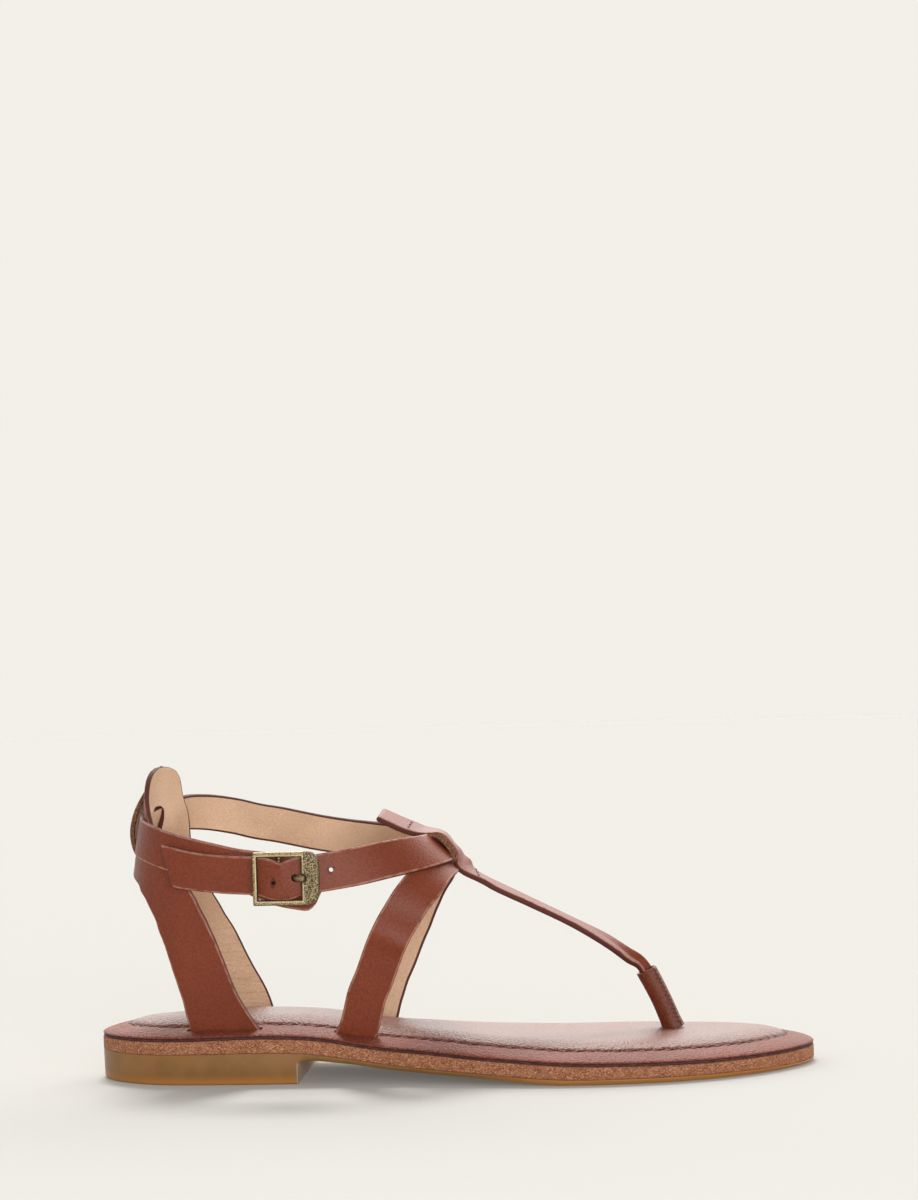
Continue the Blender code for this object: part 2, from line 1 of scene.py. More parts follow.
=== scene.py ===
# %% [markdown]
# # A leather T-strap sandal
#
# The packed solids carry the sandal's real sizes. This lesson gives them their looks: four layers
# of sole, five leather straps, a sleeved toe post, a brass buckle and the thread that holds them.
# Every shape is worked out in millimetres as numpy arrays and becomes metres in its mesh.

# %% Load the frame and keep its box
import math

import bmesh
import bpy
import numpy as np
from mathutils import Matrix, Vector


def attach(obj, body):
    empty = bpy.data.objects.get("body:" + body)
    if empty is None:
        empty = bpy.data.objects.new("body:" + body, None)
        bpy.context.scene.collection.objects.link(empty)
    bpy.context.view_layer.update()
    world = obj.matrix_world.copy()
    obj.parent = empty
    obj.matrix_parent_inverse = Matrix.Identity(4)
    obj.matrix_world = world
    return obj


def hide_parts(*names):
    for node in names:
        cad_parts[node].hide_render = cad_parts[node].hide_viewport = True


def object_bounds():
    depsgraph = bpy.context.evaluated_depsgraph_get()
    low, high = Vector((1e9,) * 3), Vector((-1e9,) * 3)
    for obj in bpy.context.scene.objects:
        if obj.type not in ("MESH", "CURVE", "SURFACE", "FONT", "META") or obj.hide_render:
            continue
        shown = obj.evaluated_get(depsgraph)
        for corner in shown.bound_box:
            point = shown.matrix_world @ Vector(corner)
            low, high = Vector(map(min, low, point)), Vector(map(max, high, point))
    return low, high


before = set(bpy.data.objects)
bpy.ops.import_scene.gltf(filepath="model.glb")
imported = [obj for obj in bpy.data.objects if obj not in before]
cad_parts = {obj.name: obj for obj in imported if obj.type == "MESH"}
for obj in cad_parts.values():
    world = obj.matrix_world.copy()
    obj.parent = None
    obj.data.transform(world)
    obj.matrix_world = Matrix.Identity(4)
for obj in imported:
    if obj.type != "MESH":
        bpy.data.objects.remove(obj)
cad_box = [list(corner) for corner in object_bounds()]
MM = 0.001
LENGTH = (cad_box[1][0] - cad_box[0][0]) / MM
print("solids:", ", ".join(sorted(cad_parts)), "| length", round(LENGTH, 1), "mm")

# %% [markdown]
# ## Curves through short tables
#
# A shoemaker's pattern is a few measured sections with a fair curve through them. The same is done
# here: short tables of sizes, and a cubic curve whose slopes come from the neighbouring rows. A
# spline library would do as well, but this one is ten lines and passes through every row.

# %% Curves and directions
def smooth(t):
    """Soft step from 0 to 1: 3t² - 2t³ with t held between 0 and 1."""
    t = np.clip(t, 0.0, 1.0)
    return t * t * (3.0 - 2.0 * t)


def hump(distance, width):
    """Bell of height 1: e to the power of minus the square of distance over width."""
    return np.exp(-(distance / width) ** 2)


def curve(at, where, values):
    """Cubic Hermite curve through the rows (where, values), with slopes from their neighbours."""
    at = np.asarray(at, float)
    slopes = np.gradient(values, where, axis=0)
    i = np.clip(np.searchsorted(where, at) - 1, 0, len(where) - 2)
    span = where[i + 1] - where[i]
    t = (at - where[i]) / span
    weights = (2 * t**3 - 3 * t**2 + 1, (t**3 - 2 * t**2 + t) * span,
               3 * t**2 - 2 * t**3, (t**3 - t**2) * span)
    if values.ndim > 1:
        weights = [w[..., None] for w in weights]
    return (weights[0] * values[i] + weights[1] * slopes[i]
            + weights[2] * values[i + 1] + weights[3] * slopes[i + 1])


def along_rows(table, steps):
    """Table read at a number of even steps from each row to the next."""
    row = np.arange(len(table), dtype=float)
    return curve(np.linspace(0.0, len(table) - 1, (len(table) - 1) * steps + 1), row, table)


def unit(v):
    """Vectors of length 1."""
    return v / np.linalg.norm(v, axis=-1, keepdims=True)


def run_length(points):
    """Length along a row of points, from its first."""
    steps = np.linalg.norm(np.diff(points, axis=0), axis=-1)
    return np.concatenate([[0.0], np.cumsum(steps)])


print("curve through 0, 1, 4 at 1.5:", curve(1.5, np.arange(3.0), np.array([0.0, 1.0, 4.0])))

# %% [markdown]
# ## From a grid to a piece
#
# Each piece is a grid of points: one number runs along it and the other round its section. Where a
# grid closes on itself its points coincide, so merging doubles closes the seam, and the normals
# are made to point outwards after that. Modelling the pieces by hand would be quicker to start
# with, but a grid can carry real sizes and a field that tells the finish where it is.

# %% Grids into meshes
MERGE = 0.002


def quads(rows, columns, wrap=False):
    """Corners of a grid's faces: each point with its neighbours in the next row and column."""
    j = np.arange(columns if wrap else columns - 1)
    start = np.arange(rows - 1)[:, None] * columns
    here = start + j
    beside = start + (j + 1) % columns
    return np.stack([here, here + columns, beside + columns, beside], axis=-1).reshape(-1, 4)


def mesh_object(name, points, faces, place=None):
    """Object from points in millimetres and groups of face corners.

    `place` is a vector for each point that a finish reads: along, in from an edge, through.
    """
    mesh = bpy.data.meshes.new(name)
    corners = [face for group in faces for face in group.tolist()]
    mesh.from_pydata((points.reshape(-1, 3) * MM).tolist(), [], corners)
    if place is not None:
        field = mesh.attributes.new("place", "FLOAT_VECTOR", "POINT")
        field.data.foreach_set("vector", place.reshape(-1).astype(np.float32))
    bm = bmesh.new()
    bm.from_mesh(mesh)
    bmesh.ops.remove_doubles(bm, verts=bm.verts[:], dist=MERGE * MM)
    bmesh.ops.recalc_face_normals(bm, faces=bm.faces[:])
    if bm.calc_volume(signed=True) < 0.0:
        bmesh.ops.reverse_faces(bm, faces=bm.faces[:])
    bm.to_mesh(mesh)
    bm.free()
    obj = bpy.data.objects.new(name, mesh)
    bpy.context.scene.collection.objects.link(obj)
    return obj


def closed_grid(name, grid, place=None):
    """Object from a grid of points whose rows close on themselves."""
    return mesh_object(name, grid, [quads(*grid.shape[:2], wrap=True)], place)


def dress(obj, finish, slot, *nodes, sharp=50.0):
    """Give an object its finish, shade it smooth and let it stand for its solids."""
    obj.data.shade_smooth()
    obj.data.set_sharp_from_angle(angle=math.radians(sharp))
    obj.data.materials.clear()
    obj.data.materials.append(finish)
    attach(obj, "root")
    if nodes:
        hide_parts(*nodes)
    print(f"{obj.name}: {len(obj.data.polygons)} faces")
    return obj


def cut(obj, cutters):
    """Take closed shapes out of a closed piece with the manifold Boolean, then delete them."""
    for cutter in cutters:
        step = obj.modifiers.new("Cut", "BOOLEAN")
        step.operation = "DIFFERENCE"
        step.solver = "MANIFOLD"
        step.object = cutter
    bpy.context.view_layer.update()
    whole = obj.evaluated_get(bpy.context.evaluated_depsgraph_get())
    mesh = bpy.data.meshes.new_from_object(whole)
    obj.modifiers.clear()
    obj.data = mesh
    for cutter in cutters:
        bpy.data.objects.remove(cutter, do_unlink=True)


print("a grid of 3 by 4 points has", len(quads(3, 4)), "faces")

# %% [markdown]
# ## Shader maths as expressions
#
# A finish is a recipe: two browns mixed by a cloud, a grain for the bump. Written with raw nodes it
# takes pages, so one small class wraps a socket and turns sums and products into Math nodes. Every
# other node comes from its one `node` method, which sets the settings before the sockets.

# %% The wire class
class Wire:
    """A socket of a node tree; arithmetic on wires and numbers adds Math nodes to the tree."""

    def __init__(self, tree, socket=None):
        self.tree = tree
        self.socket = socket

    def node(self, kind, settings=None, sockets=None, output=0):
        """New node with its settings, then the values or links of its sockets; gives one output."""
        made = self.tree.nodes.new(kind)
        for name, value in (settings or {}).items():
            setattr(made, name, value)
        for key, value in (sockets or {}).items():
            if isinstance(value, Wire):
                self.tree.links.new(value.socket, made.inputs[key])
            else:
                made.inputs[key].default_value = value
        return Wire(self.tree, made.outputs[output] if made.outputs else None)

    def math(self, operation, *values):
        """One Math node on wires or numbers."""
        return self.node("ShaderNodeMath", {"operation": operation}, dict(enumerate(values)))

    def __add__(self, other):
        return self.math("ADD", self, other)

    def __sub__(self, other):
        return self.math("SUBTRACT", self, other)

    def __rsub__(self, other):
        return self.math("SUBTRACT", other, self)

    def __mul__(self, other):
        return self.math("MULTIPLY", self, other)

    __radd__ = __add__
    __rmul__ = __mul__

    def size(self):
        """This value without its sign."""
        return self.math("ABSOLUTE", self)

    def step(self, low, high):
        """Soft step: 0 where this value is below `low`, 1 where it is over `high`."""
        return self.node("ShaderNodeMapRange", {"interpolation_type": "SMOOTHSTEP"},
                         {"Value": self, "From Min": low, "From Max": high})

    def band(self, low, high, soft):
        """1 where this value lies between two limits, with soft borders."""
        return self.step(low - soft, low + soft) * self.step(high + soft, high - soft)

    def scaled(self, factors):
        """This vector times three factors."""
        return self.node("ShaderNodeVectorMath", {"operation": "MULTIPLY"}, {0: self, 1: factors})

    def split(self):
        """The three parts of this vector."""
        made = self.node("ShaderNodeSeparateXYZ", sockets={0: self})
        return [Wire(self.tree, socket) for socket in made.socket.node.outputs]

    def noise(self, scale, detail=2.0, rough=0.5):
        """Cloud noise at this place: `scale` is in bumps per millimetre."""
        return self.node("ShaderNodeTexNoise", None,
                         {"Vector": self, "Scale": scale, "Detail": detail, "Roughness": rough})

    def cells(self, scale):
        """Distance to the middle of a pebble of the grain at this place."""
        return self.node("ShaderNodeTexVoronoi", {"feature": "SMOOTH_F1"},
                         {"Vector": self, "Scale": scale, "Smoothness": 0.4})

    def blend(self, low, high):
        """Colour that goes from `low` to `high` as this value goes from 0 to 1."""
        colours = [c if isinstance(c, Wire) else (*c, 1.0) for c in (low, high)]
        return self.node("ShaderNodeMix", {"data_type": "RGBA"},
                         {0: self, 6: colours[0], 7: colours[1]}, output=2)


def new_finish(name):
    """Empty material, a wire into it, and the place on the object in millimetres."""
    material = bpy.data.materials.new(name)
    material.use_nodes = True
    material.node_tree.nodes.clear()
    ink = Wire(material.node_tree)
    spot = ink.node("ShaderNodeTexCoord", output="Object").scaled((1 / MM,) * 3)
    return material, ink, spot


def close_finish(ink, relief, **sockets):
    """Principled surface; a relief in millimetres is its bump, and _ in a name stands for a space."""
    inputs = {name.replace("_", " "): value for name, value in sockets.items()}
    if not isinstance(inputs["Base Color"], Wire):
        inputs["Base Color"] = (*inputs["Base Color"], 1.0)
    if relief is not None:
        height = {"Strength": 1.0, "Distance": MM, "Height": relief}
        inputs["Normal"] = ink.node("ShaderNodeBump", None, height)
    shader = ink.node("ShaderNodeBsdfPrincipled", None, inputs)
    ink.node("ShaderNodeOutputMaterial", None, {"Surface": shader})


print("a wire has", sum(not name.startswith("_") for name in vars(Wire)), "named methods")

# %% [markdown]
# ## The sole's outline
#
# All four layers of the sole share one plan, cut round the last: a heel of 56 mm, a waist that is
# hollow on the inner side and a ball of 85 mm. Stations along the foot close up at heel and toe as
# a cosine does, which keeps the round ends round.

# %% Plan and side view of the sole
BALL_WIDTH = 85.5
PLAN = np.array([
    # along from the heel, reach to the outer and the inner side as shares of half the ball width
    (0.0, 0.000, 0.000),
    (6.0, 0.340, 0.330),
    (22.0, 0.590, 0.565),
    (48.0, 0.670, 0.645),
    (80.0, 0.690, 0.620),
    (112.0, 0.775, 0.610),
    (142.0, 0.930, 0.725),
    (166.0, 1.005, 0.880),
    (190.0, 0.970, 0.985),
    (212.0, 0.825, 0.960),
    (232.0, 0.540, 0.820),
    (246.0, 0.180, 0.590),
    (252.0, -0.200, 0.200),
])
SIDE = np.array([
    # x, underside of the gum, top of the gum, middle of the dark welt
    (-126.0, 8.0, 10.4, 15.5),
    (-96.0, 8.0, 10.6, 15.7),
    (-62.0, 7.9, 10.9, 16.3),
    (-52.0, 7.9, 10.6, 15.9),
    (-46.0, 7.8, 10.0, 15.4),
    (-40.0, 7.2, 9.2, 14.6),
    (-34.0, 6.6, 8.4, 13.5),
    (-23.0, 5.0, 6.8, 12.0),
    (-10.0, 3.7, 5.4, 10.9),
    (10.0, 2.2, 3.9, 9.1),
    (24.0, 1.0, 2.8, 8.1),
    (38.0, 0.0, 2.0, 7.2),
    (60.0, 0.0, 1.8, 6.6),
    (98.0, 0.0, 1.7, 6.2),
    (126.0, 0.0, 1.2, 6.2),
])
WELT_THICKNESS = 1.0
BREAST_X = -53.4
BREAST_STEPS = (0.0, 0.02, 0.25, 0.6, 1.1, 1.7, 2.4, 3.2, 4.2)
BREAST_CLEAR = 0.9


def stations(count, picked):
    """Places along the sole, close at its ends, with given steps past the heel's breast."""
    even = -LENGTH / 2 * np.cos(np.linspace(0.0, math.pi, count))
    breast = BREAST_X + np.array(picked)
    even = even[np.min(np.abs(even[:, None] - breast), axis=1, initial=LENGTH) > BREAST_CLEAR]
    return np.sort(np.concatenate([even, breast]))


def plan(x):
    """Outer and inner edge of the sole at x, by the angle whose cosine is the place along it."""
    def spread(along):
        """Angle from 0 at the heel to π at the toe."""
        return np.arccos(np.clip(1.0 - 2.0 * along / LENGTH, -1.0, 1.0))
    reach = curve(spread(x + LENGTH / 2), spread(PLAN[:, 0]), PLAN[:, 1:]) * BALL_WIDTH / 2
    return -reach[:, 0], reach[:, 1]


def side(x):
    """Underside of the gum, top of the gum and middle of the welt at x."""
    return np.moveaxis(curve(x, SIDE[:, 0], SIDE[:, 1:]), -1, 0)


def welt_top(x):
    """Height of the welt's upper face at x: its middle and half its thickness."""
    return side(x)[2] + WELT_THICKNESS / 2


def outline(count, picked=()):
    """Ring of points round the plan, the outer side first, and the middle line at each point's x."""
    x = stations(count, picked)
    outer, inner = plan(x)
    middle = (outer.min() + inner.max()) / 2
    there = np.stack([x, outer - middle], axis=-1)
    back = np.stack([x, inner - middle], axis=-1)[1:-1][::-1]
    spine = (outer + inner) / 2 - middle
    return np.concatenate([there, back]), np.concatenate([spine, spine[1:-1][::-1]])


def inward(ring):
    """Directions square to the ring, into the sole."""
    run = np.roll(ring, -1, axis=0) - np.roll(ring, 1, axis=0)
    return unit(np.stack([-run[:, 1], run[:, 0]], axis=-1))


SOLE_STATIONS = 161
sole_ring, _ = outline(SOLE_STATIONS, BREAST_STEPS)
print("sole ring:", len(sole_ring), "points, width", round(np.ptp(sole_ring[:, 1]), 1), "mm")

# %% [markdown]
# ## Gum outsole
#
# The outsole and its heel are one pressing of gum rubber. Its edge is buffed, so it is a little
# rounded at the floor, and the heel's breast meets the waist in a hollow fillet. A stack of rings
# with the plan's outline makes the wall, and rungs from side to side close the top and underside.

# %% A layer of the sole and the shape of the gum
FILLET = 2.6
GUM_EDGE = (
    # inset, rise over the underside
    (1.7, 0.0),
    (1.1, 0.1),
    (0.6, 0.4),
    (0.3, 1.0),
)
GUM_SIDE = 0.05
SEAM_ROUND = 0.2


def layer(name, profile):
    """Closed body through rings of the plan: each row of the profile is an inset and heights."""
    loops = np.stack([np.column_stack([sole_ring + inward(sole_ring) * distance, height])
                      for distance, height in profile])
    n = len(sole_ring)
    i = np.arange(1, n // 2 - 1)
    rungs = np.stack([i, i + 1, n - i - 1, n - i], axis=-1)
    ends = np.array([[0, 1, n - 1], [n // 2 - 1, n // 2, n // 2 + 1]])
    top = (len(profile) - 1) * n
    faces = [quads(len(profile), n, wrap=True), rungs, ends, rungs + top, ends + top]
    return mesh_object(name, loops, faces)


ring_x = sole_ring[:, 0]
gum_low, gum_top, welt_middle = side(ring_x)
past_breast = np.clip(ring_x - BREAST_X, 0.0, FILLET)
hollow = FILLET - np.sqrt(FILLET**2 - (FILLET - past_breast) ** 2)
gum_low = np.where(ring_x <= BREAST_X, 0.0, np.maximum(gum_low - hollow, 0.0))
gum_profile = [(distance, gum_low + rise) for distance, rise in GUM_EDGE]
gum_profile += [(GUM_SIDE, gum_top - 2 * SEAM_ROUND), (SEAM_ROUND, gum_top)]
gum_sole = layer("gum_sole", gum_profile)
print("gum: heel", round(float(gum_top.max()), 1), "mm thick, forefoot",
      round(float(gum_top.min()), 1), "mm")

# %% [markdown]
# Gum is honey-brown and lets a little light through, so its thin lower edge glows orange while the
# thick part is duller; that glow is painted into the colour as painted light. The breast is left as
# the sanding belt left it, paler and matt. The height over the floor drives the colour, and a box in
# x and z marks the breast.

# %% Gum finish
GUM_BODY = ((0.205, 0.098, 0.028), (0.250, 0.118, 0.034))
GUM_PAINTED_GLOW = (0.400, 0.165, 0.036)
GUM_SANDED = (0.420, 0.300, 0.225)


def gum_finish():
    """Two browns in clouds, a painted orange glow of light through the gum in the 4 mm over the floor and
    a sanded breast.
    """
    material, ink, spot = new_finish("gum_rubber")
    x, _, z = spot.split()
    cloud = spot.noise(0.12, 3.0)
    body = cloud.step(0.3, 0.7).blend(*GUM_BODY)
    # Painted glow: the lowest 4 mm of gum is coloured orange as painted light coming through the rubber.
    painted_glow = z.step(4.0, 0.3).blend(body, GUM_PAINTED_GLOW)
    breast = x.band(BREAST_X - 0.2, BREAST_X + 2.4, 0.2) * z.step(7.8, 6.4)
    colour = breast.blend(painted_glow, GUM_SANDED)
    relief = spot.noise(1.4, 2.0) * 0.03
    close_finish(ink, relief, Base_Color=colour, Roughness=0.42 + breast * 0.4,
                 Specular_IOR_Level=0.3, Subsurface_Weight=0.06, Subsurface_Scale=2 * MM,
                 Subsurface_Radius=(1.0, 0.45, 0.15))
    return material


dress(gum_sole, gum_finish(), "gum", "outsole")

# %% [markdown]
# ## Fibre midsole and dark welt
#
# The midsole is a board pressed from leather fibre. Its cut edge shows tan and red flecks, longer
# along the sole than they are high. The welt above it is a thin strip with an inked edge. Both are
# the same kind of layer as the gum; only their heights differ.

# %% Shapes of midsole and welt
HAIRLINE = 0.06
EDGE_SHAPE = (
    # inset and rise as shares of the rounding
    (1.0, 0.0),
    (0.2, 0.6),
    (0.0, 1.6),
)
MIDSOLE_ROUND = 0.3
WELT_INSET = 0.25
WELT_ROUND = 0.12

welt_low = welt_middle - WELT_THICKNESS / 2
welt_high = welt_middle + WELT_THICKNESS / 2


def edge_rows(low, high, inset, round_edge):
    """Rows of a layer's edge: rounded where it meets the layers below and above."""
    shape = [(inset + back * round_edge, rise * round_edge) for back, rise in EDGE_SHAPE]
    below = [(back, low + rise) for back, rise in shape]
    return below + [(back, high - rise) for back, rise in shape[::-1]]


midsole_edge = edge_rows(gum_top + HAIRLINE, welt_low - HAIRLINE, 0.0, MIDSOLE_ROUND)
fibre_midsole = layer("fibre_midsole", midsole_edge)
inked_welt = layer("inked_welt", edge_rows(welt_low, welt_high - HAIRLINE, WELT_INSET, WELT_ROUND))
print("midsole", np.round((welt_low - gum_top).mean(), 1), "mm thick, welt", WELT_THICKNESS, "mm")

# %% Finishes of midsole and welt
FIBRE = ((0.265, 0.095, 0.045), (0.345, 0.140, 0.070))
FIBRE_FLECKS = ((0.110, 0.036, 0.018), (0.600, 0.330, 0.185))
WELT_INK = ((0.048, 0.014, 0.012), (0.100, 0.038, 0.032))


def fibre_finish():
    """Chips of two browns; the low end of a stretched noise gives dark flecks, the high end pale ones."""
    material, ink, spot = new_finish("fibre_board_edge")
    flecks = spot.scaled((0.8, 1.0, 1.3)).noise(2.0, 3.0, 0.7)
    chips = spot.scaled((0.7, 0.9, 1.5)).noise(0.45, 2.0)
    body = chips.step(0.35, 0.65).blend(*FIBRE)
    dark = flecks.step(0.47, 0.36).blend(body, FIBRE_FLECKS[0])
    colour = flecks.step(0.54, 0.66).blend(dark, FIBRE_FLECKS[1])
    close_finish(ink, flecks * 0.12, Base_Color=colour, Roughness=0.82, Specular_IOR_Level=0.25)
    return material


def welt_finish():
    """Dark ink, worn paler in streaks along the edge."""
    material, ink, spot = new_finish("inked_edge")
    worn = spot.scaled((0.5, 0.5, 2.0)).noise(0.9, 3.0)
    colour = worn.step(0.4, 0.75).blend(*WELT_INK)
    close_finish(ink, worn * 0.06, Base_Color=colour, Roughness=0.65, Specular_IOR_Level=0.25)
    return material


dress(fibre_midsole, fibre_finish(), "fibre_board", "midsole")
dress(inked_welt, welt_finish(), "dark_welt", "welt")

# %% [markdown]
# ## The last
#
# The straps follow the foot, so they are laid on the last: level ovals with a back, a front, a half
# width and a squareness. A place on it is an angle round from the back of the heel, the outer side
# positive, and a height. Above the heel the inner side hangs a little forward, as the straps do.

# %% The last's surface
LAST = np.array([
    # height, back, front, half width, squareness
    (10.0, -114.0, 112.0, 21.0, 4.0),
    (30.0, -113.0, 76.0, 26.0, 3.6),
    (50.0, -112.0, 45.0, 30.0, 3.0),
    (64.0, -111.8, 14.0, 32.5, 2.6),
    (73.0, -111.2, 0.5, 33.0, 2.4),
    (82.0, -108.8, -9.0, 32.8, 2.3),
    (92.0, -107.0, -18.0, 32.5, 2.3),
    (110.0, -104.0, -28.0, 31.0, 2.3),
])
SWING = 8.0
# where the swing starts and the stretch over which it grows: upwards, towards the inner side, and
# towards the heel by the cosine of the angle
SWING_HEIGHT = (72.0, 22.0)
SWING_ACROSS = (-12.0, 26.0)
SWING_AROUND = (0.25, 0.6)
NORMAL_STEP = 1.0


def last_point(around, height):
    """Point where the ray at an angle from the oval's middle meets |x/a|ⁿ + |y/b|ⁿ = 1."""
    around, height = np.broadcast_arrays(np.asarray(around, float), np.asarray(height, float))
    back, front, half, square = np.moveaxis(curve(height, LAST[:, 0], LAST[:, 1:]), -1, 0)
    turn = np.radians(around)
    c, s = -np.cos(turn), -np.sin(turn)
    inverse = (2 * np.abs(c) / (front - back)) ** square + (np.abs(s) / half) ** square
    reach = inverse ** (-1 / square)
    y = reach * s
    swing = SWING
    for value, (start, stretch) in ((height, SWING_HEIGHT), (y, SWING_ACROSS), (-c, SWING_AROUND)):
        swing = swing * smooth((value - start) / stretch)
    return np.stack([(front + back) / 2 + reach * c + swing, y, height], axis=-1)


def last_normal(around, height):
    """Outward direction of the last: the cross product of small steps round it and up it."""
    u = last_point(around + NORMAL_STEP, height) - last_point(around - NORMAL_STEP, height)
    v = last_point(around, height + NORMAL_STEP) - last_point(around, height - NORMAL_STEP)
    return unit(np.cross(u, v))


print("last at the ankle: outer wall at y", round(float(last_point(90.0, 72.0)[1]), 1), "mm")

# %% [markdown]
# ## Leather as a wall
#
# A strap is a strip cut from hide: smooth outside, a tan lining inside and an inked edge between.
# Its section is a flat loop with rounded corners. The loop is carried along the strap, and past
# both ends the wall thins to its middle line along a quarter circle, so the piece is closed.

# %% Sections and ends of a wall
LEATHER = 1.8
CORNER = 0.5
CORNER_STEPS = 3
END_STEPS = 4
STRAP_COLUMNS = 11
THINNEST = 0.01
TRIM_LIMITS = (0.49, 0.8)  # a corner's largest radius as a share of the thickness and of a column
OPEN_SIDE = 100.0  # stands for the distance to an edge that isn't there
SEAT_CLEAR = 0.3


def strip(places, normals, widths):
    """Underside of a strap: points across each place, square to the path and the normal."""
    run = unit(np.gradient(places, axis=0))
    across = unit(np.cross(normals, run))
    spread = np.broadcast_to(widths, len(places))[:, None] * np.linspace(-0.5, 0.5, STRAP_COLUMNS)
    flat = places[:, None, :] + across[:, None, :] * spread[..., None]
    return flat, np.repeat(normals[:, None, :], STRAP_COLUMNS, axis=1)


def with_ends(flat, normals, thickness):
    """Rows added past both ends: sine of a quarter turn outwards, cosine in thickness."""
    turn = np.linspace(0.0, math.pi / 2, END_STEPS + 1)[1:]
    thin = np.cos(turn)
    thin[-1] = 0.0
    first = unit(flat[0] - flat[1])
    last = unit(flat[-1] - flat[-2])
    reach = np.sin(turn)[:, None, None] / 2
    before = (flat[0] + first * reach * thickness[0])[::-1]
    after = flat[-1] + last * reach * thickness[-1]
    flat = np.concatenate([before, flat, after])
    normals = np.pad(normals, ((END_STEPS, END_STEPS), (0, 0), (0, 0)), mode="edge")
    full = np.pad(thickness, END_STEPS, mode="edge")
    share = np.concatenate([thin[::-1], np.ones(len(thickness)), thin])
    return flat + normals * ((full - full * share) / 2)[:, None, None], normals, full * share, share


def wall(flat, normals, thickness, trims, thin):
    """Closed sections: outer face, an edge, underside, an edge; quarter circles round the corners.

    `trims` are the corner radii at the first and at the last column, `thin` the rows' shares of
    the full thickness. Gives the points and, for each, a place: millimetres along and in from the
    nearest edge, and the share of the way from lining to hide, a half on every cut edge and end.
    """
    rows, columns = flat.shape[:2]
    quarter = np.linspace(0.0, math.pi / 2, CORNER_STEPS + 1)[1:]
    turn = np.concatenate([math.pi / 2 - quarter, quarter[::-1] - math.pi / 2])
    part = np.repeat([1.0, -1.0], CORNER_STEPS)
    t = thickness[:, None]
    face = flat.copy()
    edges, levels = [], []
    for column, beside, trim in ((0, 1, trims[0]), (-1, -2, trims[1])):
        way = flat[:, column] - flat[:, beside]
        room = np.linalg.norm(way, axis=-1)
        trim = np.minimum(trim, TRIM_LIMITS[0] * thickness)
        trim = np.minimum(trim, TRIM_LIMITS[1] * room)[:, None]
        way = way / room[:, None]
        face[:, column] -= way * trim
        level = t / 2 + part * (t / 2 - trim) + np.sin(turn) * trim
        out = np.cos(turn) * trim
        edges.append(face[:, column][:, None] + way[:, None] * out[..., None]
                     + normals[:, column][:, None] * level[..., None])
        levels.append(level / np.maximum(t, THINNEST))
    top = face + normals * t[..., None]
    grid = np.concatenate([top, edges[1], face[:, ::-1], edges[0][:, ::-1]], axis=1)
    across = np.cumsum(np.linalg.norm(np.diff(flat, axis=1, prepend=flat[:, :1]), axis=-1), axis=1)
    whole = np.where(trims[1] > 0.0, 0.0, OPEN_SIDE)[:, None]
    inset = np.minimum(across, across[:, -1:] - across + whole)
    rim = np.zeros((rows, len(turn)))
    length = run_length(flat[:, columns // 2])
    to_end = np.maximum(np.minimum(length, length[-1] - length) - CORNER, 0.0)
    inset = np.concatenate([inset, rim + whole, inset[:, ::-1], rim], axis=1)
    inset = np.minimum(inset, to_end[:, None])
    skin = np.concatenate([np.ones((rows, columns)), levels[1], np.zeros((rows, columns)),
                           levels[0][:, ::-1]], axis=1)
    skin = 0.5 + (skin - 0.5) * thin[:, None]
    along = np.repeat(length[:, None], grid.shape[1], axis=1)
    return grid, np.stack([along, inset, skin], axis=-1)


def strap(name, flat, normals, thickness=LEATHER):
    """Strap from its underside, the directions outwards and a thickness for all rows or each."""
    thickness = np.broadcast_to(thickness, len(flat))
    flat, normals, thickness, thin = with_ends(flat, normals, thickness)
    trim = np.full(len(thickness), CORNER)
    grid, place = wall(flat, normals, thickness, (trim, trim), thin)
    return closed_grid(name, grid, place)


def seat(flat, end):
    """End a strap in its slot: its end row slides along the strap to just over the welt."""
    near = flat[1] if end == 0 else flat[-2]
    way = flat[end] - near
    level = welt_top(flat[end][:, 0]) + SEAT_CLEAR
    flat[end] = near + way * ((level - near[:, 2]) / way[:, 2])[:, None]


print("strap section:", 2 * STRAP_COLUMNS + 4 * CORNER_STEPS, "points round")

# %% [markdown]
# ## Strap leather
#
# The straps are smooth vegetable-dyed cowhide, reddish brown and a little mottled, with a fine
# pebbled grain and a satin polish. Inside is a tan pigskin lining, and the cut edge is inked dark.
# One finish does all three: the field carried by the wall says how far through the leather a point
# is, and the colours change there. Where a strap was slit, its edge is raw fibre instead of ink.

# %% Leather finish
HIDE = ((0.152, 0.028, 0.010), (0.212, 0.042, 0.015))
EDGE_INK = (0.085, 0.022, 0.015)
# Pale colour for the hide's edges: partly rubbed wear, partly a painted highlight.
PALE_EDGE_WEAR_AND_HIGHLIGHT = (0.420, 0.210, 0.150)
LINING = ((0.490, 0.312, 0.197), (0.655, 0.452, 0.310))
RAW_FIBRE = ((0.080, 0.028, 0.013), (0.360, 0.165, 0.085))


